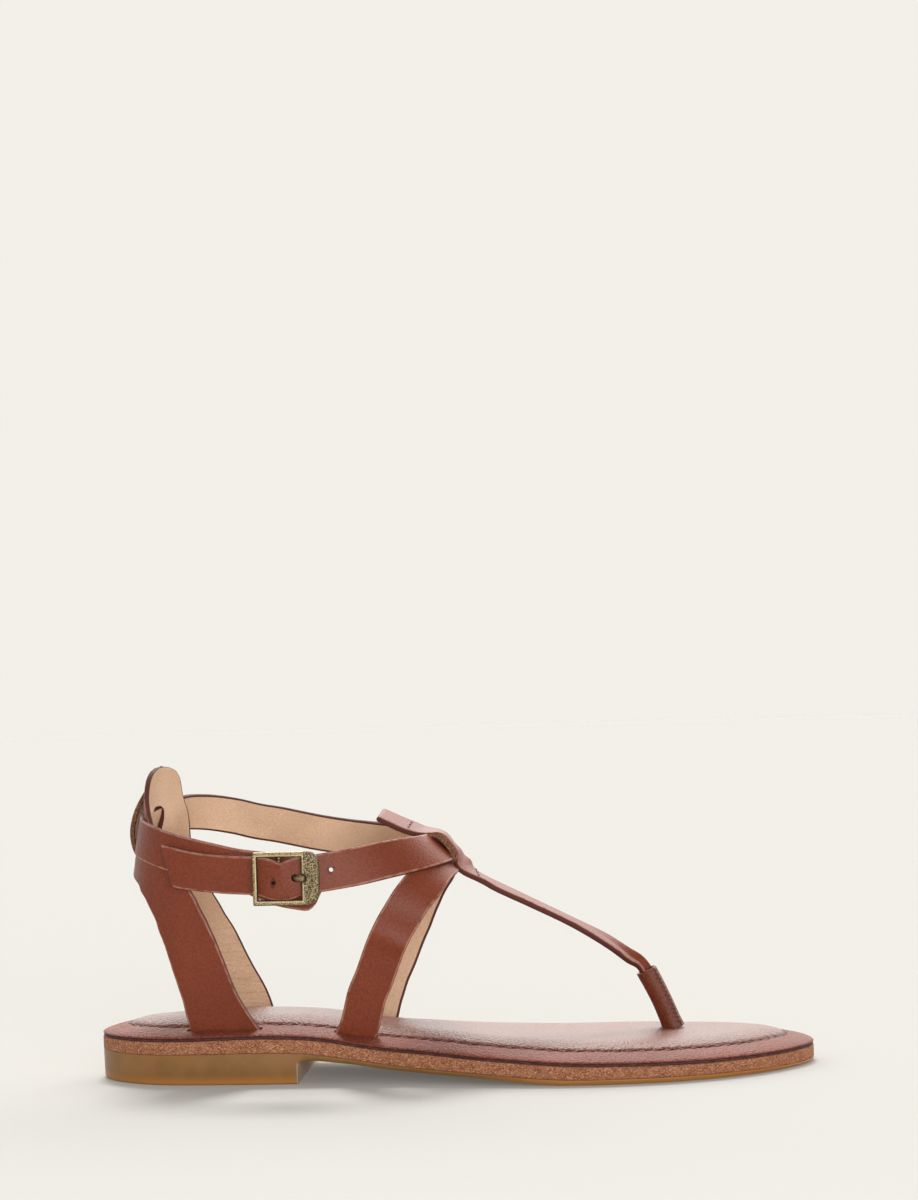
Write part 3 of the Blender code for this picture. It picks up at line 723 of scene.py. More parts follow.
def leather_finish(name, hides=HIDE, raw=None, wrinkles=None):
    """Hide outside, lining inside, ink on the edge; `raw` is a stretch along with a fibrous edge.

    `wrinkles` is a stretch along where the lining is finely creased across.
    """
    material, ink, spot = new_finish(name)
    place = ink.node("ShaderNodeAttribute", {"attribute_name": "place"}, output="Vector")
    along, inset, skin = place.split()
    outside = skin.step(0.80, 0.93)
    inside = skin.step(0.14, 0.05)
    cloud = spot.noise(0.05, 2.0)
    pebbles = spot.cells(1.2)
    pores = spot.noise(2.6, 3.0)
    tone = cloud * 0.4 + pores * 0.7 - pebbles * 0.5
    dyed = tone.step(0.10, 0.62).blend(*hides)
    # Pale line along the hide's edges: partly rubbed wear, partly a painted highlight where the rounded
    # edge catches the light.
    worn = inset.step(0.50, 0.20) * spot.noise(0.3, 3.0).step(0.25, 0.60)
    hide = (worn * 0.6).blend(dyed, PALE_EDGE_WEAR_AND_HIGHLIGHT)
    tanned = (cloud * 0.4 + pores * 0.6).step(0.35, 0.65).blend(*LINING)
    lining = inset.step(0.55, 0.30).blend(tanned, EDGE_INK)
    edge = EDGE_INK
    if raw:
        slit = along.band(*raw, 0.8)
        fibre = spot.noise(2.2, 4.0, 0.7)
        torn = fibre.step(0.40, 0.66).blend(*RAW_FIBRE)
        edge = slit.blend(EDGE_INK, torn)
    colour = outside.blend(inside.blend(edge, lining), hide)
    relief = outside * (pores * 0.05 - pebbles * 0.10) + inside * (spot.noise(1.6, 3.0) * 0.16)
    if wrinkles:
        crease = place.scaled((1.0, 0.18, 0.0)).noise(0.75, 2.0)
        relief = relief + inside * along.band(*wrinkles, 4.0) * crease * 1.6
    if raw:
        relief = relief + (1 - outside) * slit * fibre * 0.35
    close_finish(ink, relief, Base_Color=colour, Roughness=0.60 - outside * 0.16 + cloud * 0.08,
                 Coat_Weight=outside * 0.06, Coat_Roughness=0.35, Specular_IOR_Level=0.24)
    return material


strap_leather = leather_finish("strap_leather")
print("strap leather:", len(strap_leather.node_tree.nodes), "nodes")

# %% [markdown]
# ## Heel piece
#
# Two legs rise from the footbed, meet under the ankle strap and go on as one tab behind the heel.
# The pattern is flat leather, but on the last it is a curved sheet, so it is a grid of heights by
# angles, one half at a time. Above the crotch the halves share their middle line: the walls that
# would lie inside the leather are left out and merging doubles joins them.

# %% Shape of the heel piece
CROTCH_HEIGHT = 74.0
HEEL_PIECE = np.array([
    # height, back edge, outer and inner front edge in degrees round the last, lift off it
    (16.0, 13.3, 20.6, 19.9, 0.0),
    (24.0, 15.1, 22.9, 23.1, 0.0),
    (30.0, 16.5, 24.6, 25.0, 0.0),
    (36.0, 17.4, 26.3, 26.2, 0.0),
    (42.0, 18.0, 28.0, 27.3, 0.0),
    (48.0, 18.6, 29.9, 28.6, 0.0),
    (53.5, 19.2, 32.4, 30.0, 0.0),
    (58.5, 20.0, 35.3, 32.0, -0.2),
    (64.0, 19.1, 37.8, 33.6, -0.1),
    (67.0, 17.0, 38.3, 34.4, 0.0),
    (70.0, 14.2, 38.0, 34.4, 0.0),
    (74.0, 0.0, 35.5, 33.4, 0.0),
    (79.0, 0.0, 31.0, 30.6, 0.7),
    (85.0, 0.0, 25.5, 25.6, -0.2),
    (91.0, 0.0, 21.5, 21.5, 0.3),
    (98.0, 0.0, 16.4, 17.4, 1.2),
    (104.0, 0.0, 12.4, 14.8, 1.6),
    (107.2, 0.0, 8.4, 11.2, 1.7),
    (108.6, 0.0, 4.4, 6.8, 1.7),
])
HEEL_STEPS = 7
HEEL_COLUMNS = 17


def heel_flat(side_sign, grow=0.0):
    """Underside of one half: rows of height, columns from the front edge to the back edge."""
    height, back, outer, inner, lift = along_rows(HEEL_PIECE, HEEL_STEPS).T
    front = outer if side_sign > 0 else inner
    parted = height < CROTCH_HEIGHT
    back = np.where(parted, np.maximum(back, 0.0) - grow, 0.0)
    share = np.linspace(0.0, 1.0, HEEL_COLUMNS)
    around = side_sign * ((front + grow)[:, None] * (1 - share) + back[:, None] * share)
    level = np.repeat(height[:, None], HEEL_COLUMNS, axis=1)
    normals = last_normal(around, level)
    flat = last_point(around, level) + normals * lift[:, None, None]
    seat(flat, 0)
    return flat, normals, parted


def heel_half(side_sign):
    """Points, places and faces of one half, without the wall on the middle line of the tab."""
    flat, normals, parted = heel_flat(side_sign)
    flat, normals, thickness, thin = with_ends(flat, normals, np.full(len(flat), LEATHER))
    parted = np.concatenate([np.ones(END_STEPS, bool), parted, np.zeros(END_STEPS, bool)])
    trim = np.full(len(thickness), CORNER)
    grid, place = wall(flat, normals, thickness, (trim, trim * parted), thin)
    rows, columns = grid.shape[:2]
    faces = quads(rows, columns, wrap=True).reshape(rows - 1, columns, 4)
    inside = np.zeros((rows - 1, columns), bool)
    middle = slice(HEEL_COLUMNS - 1, HEEL_COLUMNS + 2 * CORNER_STEPS)
    inside[:, middle] = ~parted[:-1, None]
    return grid, place, faces[~inside]


outer_half, inner_half = heel_half(1.0), heel_half(-1.0)
heel_points = np.concatenate([outer_half[0], inner_half[0]])
heel_places = np.concatenate([outer_half[1], inner_half[1]])
heel_faces = [outer_half[2], inner_half[2] + math.prod(outer_half[0].shape[:2])]
heel_piece = mesh_object("heel_piece", heel_points, heel_faces, heel_places)
print("heel piece:", round(float(heel_points[..., 2].max()), 1), "mm high")

# %% [markdown]
# The tab is slit twice and the strip between the slits is pushed out to hold the ankle strap. That
# leaves a window in the tab, cut here with a rounded plug, and a bridge, which is a strap of its
# own along the back of the heel with raw edges.

# %% Window and bridge of the tab
WINDOW_MIDDLE = (1.0, 87.2)
WINDOW_HALF = (4.8, 8.2)
WINDOW_REACH = (-4.0, 7.0)
WINDOW_SIDES = 48
WINDOW_SQUARE = 0.6
SLIT_MARK = (-8.0, -4.0)
LEG_WRINKLES = (0.0, 36.0)
HEEL_BRIDGE = np.array([
    # x, y, z of the underside
    (-105.9, 0.0, 100.8),
    (-107.0, 0.0, 99.2),
    (-108.6, 0.0, 96.6),
    (-110.1, 0.0, 93.6),
    (-111.1, 0.0, 90.6),
    (-111.7, 0.0, 87.4),
    (-111.6, 0.0, 84.2),
    (-110.9, 0.0, 81.2),
    (-109.4, 0.0, 78.4),
])
BRIDGE_STEPS = 6
BRIDGE_WIDTH = 9.0
BRIDGE_WAY = (-1.0, 0.10, 0.0)
WHOLE_BRIDGE = (0.0, 40.0)


def window_plug():
    """Plug through the tab: a squarish oval in degrees and height, closed at two poles."""
    turn = np.linspace(0.0, 2 * math.pi, WINDOW_SIDES, endpoint=False)
    waves = [np.sign(wave) * np.abs(wave) ** WINDOW_SQUARE for wave in (np.cos(turn), np.sin(turn))]
    around = WINDOW_MIDDLE[0] + WINDOW_HALF[0] * waves[0]
    height = WINDOW_MIDDLE[1] + WINDOW_HALF[1] * waves[1]
    ring = last_point(around, height)
    normals = last_normal(around, height)
    below, above = (ring + normals * reach for reach in WINDOW_REACH)
    poles = [np.zeros_like(ring) + loop.mean(axis=0) for loop in (below, above)]
    grid = np.stack([poles[0], below, above, poles[1]])
    place = np.zeros_like(grid) + (np.mean(SLIT_MARK), 0.0, 0.5)
    return closed_grid("window_plug", grid, place)


cut(heel_piece, [window_plug()])
heel_leather = leather_finish("heel_leather", raw=SLIT_MARK, wrinkles=LEG_WRINKLES)
dress(heel_piece, heel_leather, "strap_leather", "upper")
bridge_places = along_rows(HEEL_BRIDGE, BRIDGE_STEPS)
bridge_run = unit(np.gradient(bridge_places, axis=0))
bridge_side = unit(np.cross(bridge_run, BRIDGE_WAY))
bridge_normals = np.cross(bridge_side, bridge_run)
heel_bridge = strap("heel_bridge", *strip(bridge_places, bridge_normals, BRIDGE_WIDTH))
dress(heel_bridge, leather_finish("raw_edge_leather", raw=WHOLE_BRIDGE), "strap_leather", "upper")

# %% [markdown]
# ## Ankle strap
#
# One long strap starts at the buckle, goes back round the heel under the bridge, along the inner
# side, over the instep under the T-strap and through the buckle to its slanted tip. Its path is a
# table of angle, height and lift off the last; the lift carries it over the other leather. In the
# buckle's window it swells and sags, as a strap does that is pulled down by the bars beside it.

# %% Shape of the ankle strap
STRAP_WIDTH = 13.2
CHAPE_WIDTH = 18.0
ANKLE = np.array([
    # around, height, lift
    (107.5, 68.8, 0.2),
    (89.0, 70.9, 0.0),
    (66.0, 75.5, 0.1),
    (41.0, 80.0, 1.1),
    (22.0, 83.8, 1.7),
    (0.0, 87.8, 1.9),
    (-18.0, 90.6, 2.7),
    (-32.0, 91.0, 1.7),
    (-50.0, 89.4, 0.1),
    (-66.0, 87.4, 0.0),
    (-80.0, 85.8, 0.0),
    (-92.0, 84.1, 0.0),
    (-104.0, 82.4, 0.0),
    (-118.0, 80.8, 0.2),
    (-135.0, 79.3, 0.7),
    (-155.0, 78.3, 1.0),
    (-180.0, 77.8, 1.0),
    (-200.0, 77.3, 1.1),
    (-215.0, 76.4, 1.3),
    (-231.0, 74.8, 1.6),
    (-246.0, 73.7, 2.6),
    (-258.0, 73.2, 4.0),
    (-270.0, 72.8, 4.1),
    (-284.0, 73.4, 3.6),
    (-302.0, 73.9, 2.5),
    (-316.0, 75.0, 3.0),
    (-328.5, 76.8, 3.9),
])
ANKLE_STEPS = 10
CHAPE_ROUND = 5.0
CHAPE_BLUNT = 0.98
CHAPE_STRETCH = 34.0
CHAPE_STEEP = 1.6
TIP_SLANT = 8.5
TIP_STRETCH = 20.0
BUCKLE_X = -54.2
WINDOW_SHIFT = -2.0
FREE_END = (-240.0, -300.0)  # angles between which the free end lies on the buckle
FREE_SOFT = 10.0
SWELL = 0.6
SAG = 1.6
SWELL_WIDTH = 4.8


def ankle_flat():
    """Underside of the ankle strap: round at the buckle end, slanted at the tip, swollen between."""
    around, height, lift = along_rows(ANKLE, ANKLE_STEPS).T
    normals = last_normal(around, height)
    places = last_point(around, height) + normals * lift[:, None]
    free = smooth((FREE_END[0] - around) / FREE_SOFT) * smooth((around - FREE_END[1]) / FREE_SOFT)
    swell = free * hump(places[:, 0] - BUCKLE_X - WINDOW_SHIFT, SWELL_WIDTH)
    places = places + normals * (SWELL * swell)[:, None]
    places[:, 2] -= SAG * swell
    length = run_length(places)
    short = np.clip(1.0 - length / CHAPE_ROUND, 0.0, CHAPE_BLUNT)
    chape = smooth((CHAPE_STRETCH - length) / CHAPE_STRETCH * CHAPE_STEEP)
    wide = STRAP_WIDTH + (CHAPE_WIDTH - STRAP_WIDTH) * chape
    flat, normals = strip(places, normals, wide * np.sqrt(1.0 - short**2))
    late = smooth((length - length[-1] + TIP_STRETCH) / TIP_STRETCH)
    run = unit(np.gradient(flat, axis=0))
    share = np.linspace(0.0, 1.0, STRAP_COLUMNS)
    return flat - run * (TIP_SLANT * late[:, None] * share)[..., None], normals


flat, normals = ankle_flat()
ankle_strap = strap("ankle_strap", flat, normals)
print("ankle strap:", round(run_length(flat[:, STRAP_COLUMNS // 2])[-1]), "mm long")

# %% [markdown]
# Three round holes are punched in its free end: one for the prong, one on the strap in the buckle's
# window and one towards the toe. Each is a real hole, made with a thin pin through the strap.

# %% Punched holes
HOLES = (
    # x, height, radius, start off the wall
    (-58.4, 70.9, 0.75, 3.0),
    (-51.0, 72.4, 1.2, 3.0),
    (-38.9, 74.7, 0.8, -4.0),
)
HOLE_SIDES = 24
HOLE_REACH = 9.0
POLE = 0.01  # from a round body's pole to its first full ring
CUT_EDGE = (0.0, 0.0, 0.5)  # place of a cut through the leather: half way from lining to hide
BUCKLE_Z = 72.4
BUCKLE_WALL = float(last_point(90.0, BUCKLE_Z)[1])


def turned(name, path, radii, sides, over=(0.0, 0.0, 1.0), place=None):
    """Round body along a flat path of points, with a radius for each point and its ends at poles.

    `over` is square to the plane of the path, so that the rings never twist.
    """
    run = unit(np.gradient(path, axis=0))
    aside = unit(np.cross(run, over))
    over = np.cross(aside, run)
    turn = np.linspace(0.0, 2 * math.pi, sides, endpoint=False)[:, None]
    ring = aside[:, None] * np.cos(turn) + over[:, None] * np.sin(turn)
    grid = path[:, None] + ring * np.asarray(radii)[:, None, None]
    return closed_grid(name, grid, None if place is None else np.zeros_like(grid) + place)


def hole_pin(x, height, radius, start):
    """Pin from a start off the last's wall outwards, at a place seen from the side."""
    y = BUCKLE_WALL - np.array([start, start + POLE, HOLE_REACH - POLE, HOLE_REACH])
    path = np.column_stack([np.full(4, x), y, np.full(4, height)])
    return turned("hole_pin", path, (0.0, radius, radius, 0.0), HOLE_SIDES, place=CUT_EDGE)


cut(ankle_strap, [hole_pin(*hole) for hole in HOLES])
dress(ankle_strap, strap_leather, "strap_leather", "upper")

# %% [markdown]
# ## Instep strap
#
# A second strap comes out of a slot on each side of the footbed and crosses the instep under the
# ankle strap. A little over half way up it has been folded and keeps a soft ridge there. Its
# path is mirrored, and its inner half stands further forward, as the foot does.

# %% Shape of the instep strap
INSTEP_WIDTH = 13.7
INSTEP = np.array([
    # around, height, lift, degrees by which the inner half stands further forward
    (39.0, 15.6, 0.0, 4.0),
    (52.0, 22.4, 0.0, 4.4),
    (68.0, 29.8, 0.0, 6.2),
    (87.2, 37.6, 0.0, 6.5),
    (111.4, 48.9, 0.0, 5.2),
    (130.5, 57.6, 0.0, 2.4),
    (147.6, 66.8, -0.2, 0.6),
    (162.0, 73.2, -0.8, 0.2),
    (180.0, 75.8, -1.0, 0.0),
])
INSTEP_STEPS = 10
FOLD_HEIGHT = 50.0
FOLD_WIDTH = 3.4
FOLD_RIDGE = 1.5


def instep_flat(extra=0.0):
    """Underside of the instep strap from its outer slot over the instep to its inner slot."""
    half = along_rows(INSTEP, INSTEP_STEPS)
    other = half[::-1][1:].copy()
    other[:, 0] = 360.0 - other[:, 0] - other[:, 3]
    around, height, lift, _ = np.concatenate([half, other]).T
    normals = last_normal(around, height)
    lift = lift + FOLD_RIDGE * hump(height - FOLD_HEIGHT, FOLD_WIDTH)
    places = last_point(around, height) + normals * lift[:, None]
    flat, normals = strip(places, normals, INSTEP_WIDTH + extra)
    seat(flat, 0)
    seat(flat, -1)
    return flat, normals


flat, normals = instep_flat()
instep_strap = strap("instep_strap", flat, normals)
print("instep strap:", round(run_length(flat[:, STRAP_COLUMNS // 2])[-1]), "mm from slot to slot")
dress(instep_strap, strap_leather, "strap_leather", "upper")

# %% [markdown]
# ## T-strap
#
# The T-strap is cut from thicker hide. From its square tongue it dips under a tack, bridges the
# ankle strap, is tacked again and runs down the middle of the foot to the toe post. It narrows as
# it goes, from 13 to 4 mm, and folds to a soft trough before the post. Its bridge is a little
# thicker and shows raw fibre at its edge, where the hide was slit.

# %% Shape of the T-strap
T_STRAP = np.array([
    # x, y, z of the underside, width, tilt to the outer side
    (-24.5, -1.0, 89.6, 13.0, 10.0),
    (-17.0, -1.0, 86.0, 13.0, 11.0),
    (-10.5, -1.0, 83.6, 12.2, 9.0),
    (-5.0, -0.5, 82.4, 11.0, 2.0),
    (-1.2, -0.5, 78.2, 10.4, -3.0),
    (2.0, -0.6, 73.8, 10.8, 7.0),
    (6.0, -0.8, 69.3, 10.8, 16.0),
    (13.0, 1.5, 64.5, 9.4, 10.0),
    (25.0, 3.2, 58.3, 8.6, 9.0),
    (39.0, 5.5, 51.0, 8.6, 10.0),
    (52.0, 8.8, 43.4, 8.8, 21.0),
    (60.4, 11.4, 37.3, 8.0, 31.0),
    (65.8, 13.0, 33.2, 5.8, 40.0),
    (71.2, 13.7, 22.6, 4.8, 44.0),
    (75.5, 14.0, 12.0, 4.4, 30.0),
    (77.3, 14.1, 7.6, 4.4, 30.0),
])
T_STEPS = 10
T_THICKNESS = 2.1
BRIDGE_ROWS = (2.6, 5.2)
BRIDGE_SOFT = 0.8
BRIDGE_EXTRA = 1.0
T_FOLD = 1.1
T_FOLD_STEEP = 1.5
T_FOLD_ROWS = (9.5, 2.0)  # the row where the trough starts, and the rows over which it deepens


def t_strap_path():
    """Places, outward directions and widths: up is square to the run, leaned by the tilt."""
    rows = along_rows(T_STRAP, T_STEPS)
    places, tilt = rows[:, :3], np.radians(rows[:, 4:5])
    run = unit(np.gradient(places, axis=0))
    outer = unit(np.cross(run, (0.0, 0.0, 1.0)))
    up = unit(np.cross(outer, run))
    return places, up * np.cos(tilt) + outer * np.sin(tilt), rows[:, 3]


t_places, t_normals, t_widths = t_strap_path()
t_row = np.arange(len(t_places)) / T_STEPS
on_bridge = smooth((t_row - BRIDGE_ROWS[0]) / BRIDGE_SOFT)
on_bridge = on_bridge * smooth((BRIDGE_ROWS[1] - t_row) / BRIDGE_SOFT)
t_flat, t_flat_normals = strip(t_places, t_normals, t_widths)
trough = np.maximum(1.0 - T_FOLD_STEEP * np.abs(np.linspace(-1.0, 1.0, STRAP_COLUMNS)), 0.0)
trough = T_FOLD * trough * smooth((t_row - T_FOLD_ROWS[0]) / T_FOLD_ROWS[1])[:, None]
t_flat = t_flat - t_flat_normals * trough[..., None]
t_thickness = T_THICKNESS + BRIDGE_EXTRA * on_bridge
t_strap = strap("t_strap", t_flat, t_flat_normals, t_thickness)
t_length = run_length(t_places)
t_leather = leather_finish("t_strap_leather", raw=tuple(np.interp(BRIDGE_ROWS, t_row, t_length)))
dress(t_strap, t_leather, "strap_leather", "upper")
print("T-strap:", round(t_length[-1]), "mm from tongue to slot")

# %% [markdown]
# ## Toe post sleeve
#
# The thong goes through the footbed in a leather sleeve, folded round it and whipped shut along
# the front. It is a tube with a wall: rings run down its inside, over the rim and down its outside.
# The seam is a lip on the ring, and the whip stitches are small slanted bars over it.

# %% Shape of the sleeve
THONG_TOP_ROW = 12.15
SLEEVE_HALF = (3.75, 3.8)  # half sizes to the front and to the side
SLEEVE_WALL = 0.9
SLEEVE_SIDES = 64
SLEEVE_ROWS = 24
SLEEVE_RIM = np.array([
    # share of the way down, inset as a share of the wall
    (0.012, 1.0),
    (0.0, 0.7),
    (0.0, 0.3),
    (0.012, 0.0),
])
SLEEVE_FLARE = (0.35, 0.82)  # how wide the foot flares, and from what share of the way down
SLEEVE_WAIST = (0.12, 0.5, 0.3)  # how much it is drawn in, at what share and over what width
SLEEVE_SINK = 1.2
SLEEVE_BOW = 0.5
SLEEVE_HIDE = ((0.105, 0.022, 0.008), (0.190, 0.042, 0.015))
SEAM_TURN = 0.75
SEAM_LIP = 0.5
SEAM_WIDTH = 0.22
RIM_THICKNESS = 0.95
FOOTBED_CROWN = 4.5

table_row = np.arange(len(T_STRAP), dtype=float)
sleeve_top, sleeve_foot = curve(np.array([THONG_TOP_ROW, table_row[-1]]), table_row, T_STRAP[:, :3])
sleeve_axis = unit(sleeve_foot - sleeve_top)
sleeve_side = unit(np.cross(sleeve_axis, (1.0, 0.0, 0.0)))
sleeve_fore = np.cross(sleeve_side, sleeve_axis)
sleeve_fore = sleeve_fore * np.sign(sleeve_fore[0])
sleeve_top = sleeve_top + sleeve_fore * LEATHER / 2
sleeve_floor = float(welt_top(sleeve_foot[0])) + RIM_THICKNESS + FOOTBED_CROWN - SLEEVE_SINK
sleeve_length = (sleeve_floor - sleeve_top[2]) / sleeve_axis[2]


def sleeve_ring(down, inset, turn):
    """Oval ring at a share of the way down; the lip is a bell round the front, the foot flares."""
    flare = SLEEVE_FLARE[0] * smooth((down - SLEEVE_FLARE[1]) / (1.0 - SLEEVE_FLARE[1]))
    flare = flare - SLEEVE_WAIST[0] * hump(down - SLEEVE_WAIST[1], SLEEVE_WAIST[2])
    lip = SEAM_LIP * hump(np.mod(turn - SEAM_TURN + math.pi, 2 * math.pi) - math.pi, SEAM_WIDTH)
    half = [size + flare + lip - inset for size in SLEEVE_HALF]
    middle = sleeve_top + sleeve_axis * (down * sleeve_length)[..., None]
    middle = middle + sleeve_fore * (SLEEVE_BOW * np.sin(math.pi * down))[..., None]
    return (middle + sleeve_fore * (half[0] * np.cos(turn))[..., None]
            + sleeve_side * (half[1] * np.sin(turn))[..., None])


turn = np.linspace(0.0, 2 * math.pi, SLEEVE_SIDES, endpoint=False)
down = np.linspace(0.0, 1.0, SLEEVE_ROWS + 1)[1:]
downs = np.concatenate([down[::-1], SLEEVE_RIM[:, 0], down, [1.0]])
insets = np.concatenate([np.ones(SLEEVE_ROWS), SLEEVE_RIM[:, 1], np.zeros(SLEEVE_ROWS), [1.0]])
sleeve_grid = sleeve_ring(downs[:, None] + 0.0 * turn, insets[:, None] * SLEEVE_WALL, turn)
sleeve_place = np.zeros_like(sleeve_grid) + (0.0, LEATHER, 1.0)
toe_sleeve = closed_grid("toe_sleeve", sleeve_grid, sleeve_place)
print("sleeve:", round(float(sleeve_length), 1), "mm long")
dress(toe_sleeve, leather_finish("sleeve_leather", SLEEVE_HIDE), "strap_leather", "toe_post_sleeve")

# %% [markdown]
# ## Padded footbed
#
# The footbed is a leather cover over foam: a flat rim round the edge, a stitched groove ten
# millimetres in, and a soft crown inside it. Its rings lie at true distances from the edge. They
# are found on rays from the edge to the middle line, because plain offsets would cross at the toe.
# A cloth simulation could puff the crown, but it would blur the groove, so the formula stays.

# %% Rings of the footbed
FOOTBED_STATIONS = 440
RAY_SAMPLES = 41
SPINE_ENDS = (25.0, 27.0)
GROOVE_INSET = 9.7
STITCH_PITCH = 4.6
FOOTBED_INSETS = (0.0, 0.1, 0.3, 0.7, 1.5, 3.0, 4.6, 6.2, 7.6, 8.4, 8.9, 9.3, 9.55, 9.7, 9.85, 10.1,
                  10.5, 11.1, 12.0, 13.2, 15.0, 17.4, 20.0)
SPINE_SHARES = (0.25, 0.5, 0.75, 1.0)

footbed_edge, footbed_middle = outline(FOOTBED_STATIONS)
footbed_in = inward(footbed_edge)
spine_x = np.clip(footbed_edge[:, 0], SPINE_ENDS[0] - LENGTH / 2, LENGTH / 2 - SPINE_ENDS[1])
order = np.argsort(footbed_edge[:, 0])
spine_y = np.interp(spine_x, footbed_edge[order, 0], footbed_middle[order])
spine = np.stack([spine_x, spine_y], axis=-1)


def on_ray(share):
    """Points a share of the way from the edge to the middle line."""
    return footbed_edge + (spine - footbed_edge) * np.asarray(share)[..., None]


def depth(points):
    """Distance from the edge: the step from the nearest edge point, measured along its normal."""
    step = points[:, None] - footbed_edge[None]
    nearest = np.argmin((step**2).sum(axis=-1), axis=1)
    return ((points - footbed_edge[nearest]) * footbed_in[nearest]).sum(axis=-1)


ray_shares = np.linspace(0.0, 1.0, RAY_SAMPLES)
ray_depths = np.stack([depth(on_ray(np.full(len(spine), share))) for share in ray_shares])


def share_at(distance):
    """Share of each ray at which the edge is a given distance away, between the two samples."""
    after = np.maximum(np.argmax(ray_depths >= distance, axis=0), 1)
    column = np.arange(len(spine))
    low, high = ray_depths[after - 1, column], ray_depths[after, column]
    return ray_shares[after - 1] + (distance - low) / (high - low) * ray_shares[1]


groove = on_ray(share_at(GROOVE_INSET))
groove_length = run_length(np.concatenate([groove, groove[:1]]))
print("groove:", round(groove_length[-1]), "mm round,", len(spine), "rays")

# %% [markdown]
# The rise over the rim is a formula of the distance from the edge: a gentle slope, a groove in the
# shape of a bell and a crown that starts steeply. The thread pulls small puckers into the rim, and
# the foam is pressed down round the toe post.

# %% Heights of the footbed
EDGE_FALLS = ((0.25, 0.15), (0.55, 1.5))  # how far the edge falls away, and over what distance
RIM_RISE = 2.2
CROWN_STEEP = 1.8
GROOVE_DEPTH = 0.75
GROOVE_WIDTH = 0.75
PUCKER = 0.12
# distance from the edge and width of the puckers outside the groove, inside it and of slow waves
PUCKER_OUTSIDE = (8.7, 1.2)
PUCKER_INSIDE = (11.2, 1.4)
PUCKER_SLOW = (6.0, 3.0)
PUCKER_SHARE = 0.6
SLOW_WAVES = (2.7, 1.5, 11.0)
POST_DIP = 0.9
POST_DIP_WIDTH = 9.0


def footbed_rise(distance):
    """Rise over the rim: edge rounding, slope to the groove, groove and crown."""
    rounding = -sum(fall * np.exp(-distance / reach) for fall, reach in EDGE_FALLS)
    slope = RIM_RISE * np.minimum(distance / GROOVE_INSET, 1.0)
    inside = np.clip((distance - GROOVE_INSET) / (FOOTBED_INSETS[-1] - GROOVE_INSET), 0.0, 1.0)
    crown = (FOOTBED_CROWN - RIM_RISE) * (1.0 - (1.0 - inside) ** CROWN_STEEP)
    return rounding + slope + crown - GROOVE_DEPTH * hump(distance - GROOVE_INSET, GROOVE_WIDTH)


def footbed_points(points, distance):
    """Footbed surface over points of the plan at a distance from the edge."""
    along = groove_length[:-1]
    wave = np.sin(2 * math.pi * along / STITCH_PITCH)
    slow = np.sin(along / SLOW_WAVES[0] + SLOW_WAVES[1] * np.sin(along / SLOW_WAVES[2]))
    outside, inside, rim = (hump(distance - middle, width)
                            for middle, width in (PUCKER_OUTSIDE, PUCKER_INSIDE, PUCKER_SLOW))
    pucker = wave * outside + slow * rim + PUCKER_SHARE * wave * inside
    post = np.linalg.norm(points - sleeve_foot[:2], axis=-1)
    height = (welt_top(points[:, 0]) + RIM_THICKNESS + footbed_rise(distance) + PUCKER * pucker
              - POST_DIP * hump(post, POST_DIP_WIDTH) * (distance > GROOVE_INSET))
    return np.column_stack([points, height])


def footbed_under(points, rise):
    """Underside of the footbed at a small rise over the welt."""
    return np.column_stack([points, welt_top(points[:, 0]) + rise])


UNDER_SHARE = 0.3
UNDER_ROUND = (0.15, 0.2)  # how far in and how high the underside's edge is rounded
under_ring = on_ray(np.full(len(spine), UNDER_SHARE))
footbed_rows = [footbed_under(spine, HAIRLINE), footbed_under(under_ring, HAIRLINE),
                footbed_under(footbed_edge + footbed_in * UNDER_ROUND[0], HAIRLINE),
                footbed_under(footbed_edge, UNDER_ROUND[1])]
under_count = len(footbed_rows)
footbed_rows += [footbed_points(on_ray(share_at(distance)), distance) for distance in FOOTBED_INSETS]
inner_share = share_at(FOOTBED_INSETS[-1])
footbed_rows += [footbed_points(on_ray(inner_share + (1.0 - inner_share) * share), FOOTBED_INSETS[-1])
                 for share in SPINE_SHARES]
footbed_grid = np.stack(footbed_rows)
from_edge = np.pad(FOOTBED_INSETS, (under_count, 0))
from_edge = np.pad(from_edge, (0, len(SPINE_SHARES)), mode="edge")
footbed_place = np.zeros_like(footbed_grid)
footbed_place[..., 0] = groove_length[:-1]
footbed_place[..., 1] = from_edge[:, None]
footbed = closed_grid("footbed", footbed_grid, footbed_place)
print("footbed:", len(footbed_rows), "rings of", len(spine), "points")

# %% [markdown]
# The straps go down through slots in the cover. Each slot is cut with the strap's own foot, made a
# little larger all round and carried below the cover, so that a thin dark gap shows beside it.

# %% Slots for the straps
SLOT_ROOM = 0.3
SLOT_TURN = 0.4
SLOT_BELOW = 5.0
FOOT_ROWS = 9


def slot_plug(flat, normals):
    """Foot of a strap with room on both faces, longer below."""
    foot = np.concatenate([flat[:1] - (0.0, 0.0, SLOT_BELOW), flat[:FOOT_ROWS]])
    out = np.concatenate([normals[:1], normals[:FOOT_ROWS]])
    return strap("slot_plug", foot - out * SLOT_ROOM, out, LEATHER + 2 * SLOT_ROOM)


wide_instep = instep_flat(2 * SLOT_ROOM)
feet = [heel_flat(side_sign, SLOT_TURN)[:2] for side_sign in (1.0, -1.0)]
feet += [wide_instep, [rows[::-1] for rows in wide_instep]]
cut(footbed, [slot_plug(*foot) for foot in feet])
print("slots:", len(feet))

# %% [markdown]
# The cover is a softer, duller hide than the straps, with a deeper pebble and a waxed crown that
# shines more than the rim. The distance from the edge, carried by the grid, tells rim, seam and
# crown apart; three separate materials would show hard borders between them.

# %% Footbed finish
CROWN_HIDE = ((0.120, 0.035, 0.020), (0.210, 0.074, 0.047))
RIM_HIDE = ((0.135, 0.030, 0.016), (0.245, 0.064, 0.036))
GROOVE_PAINTED_SHADE = (0.080, 0.013, 0.006)


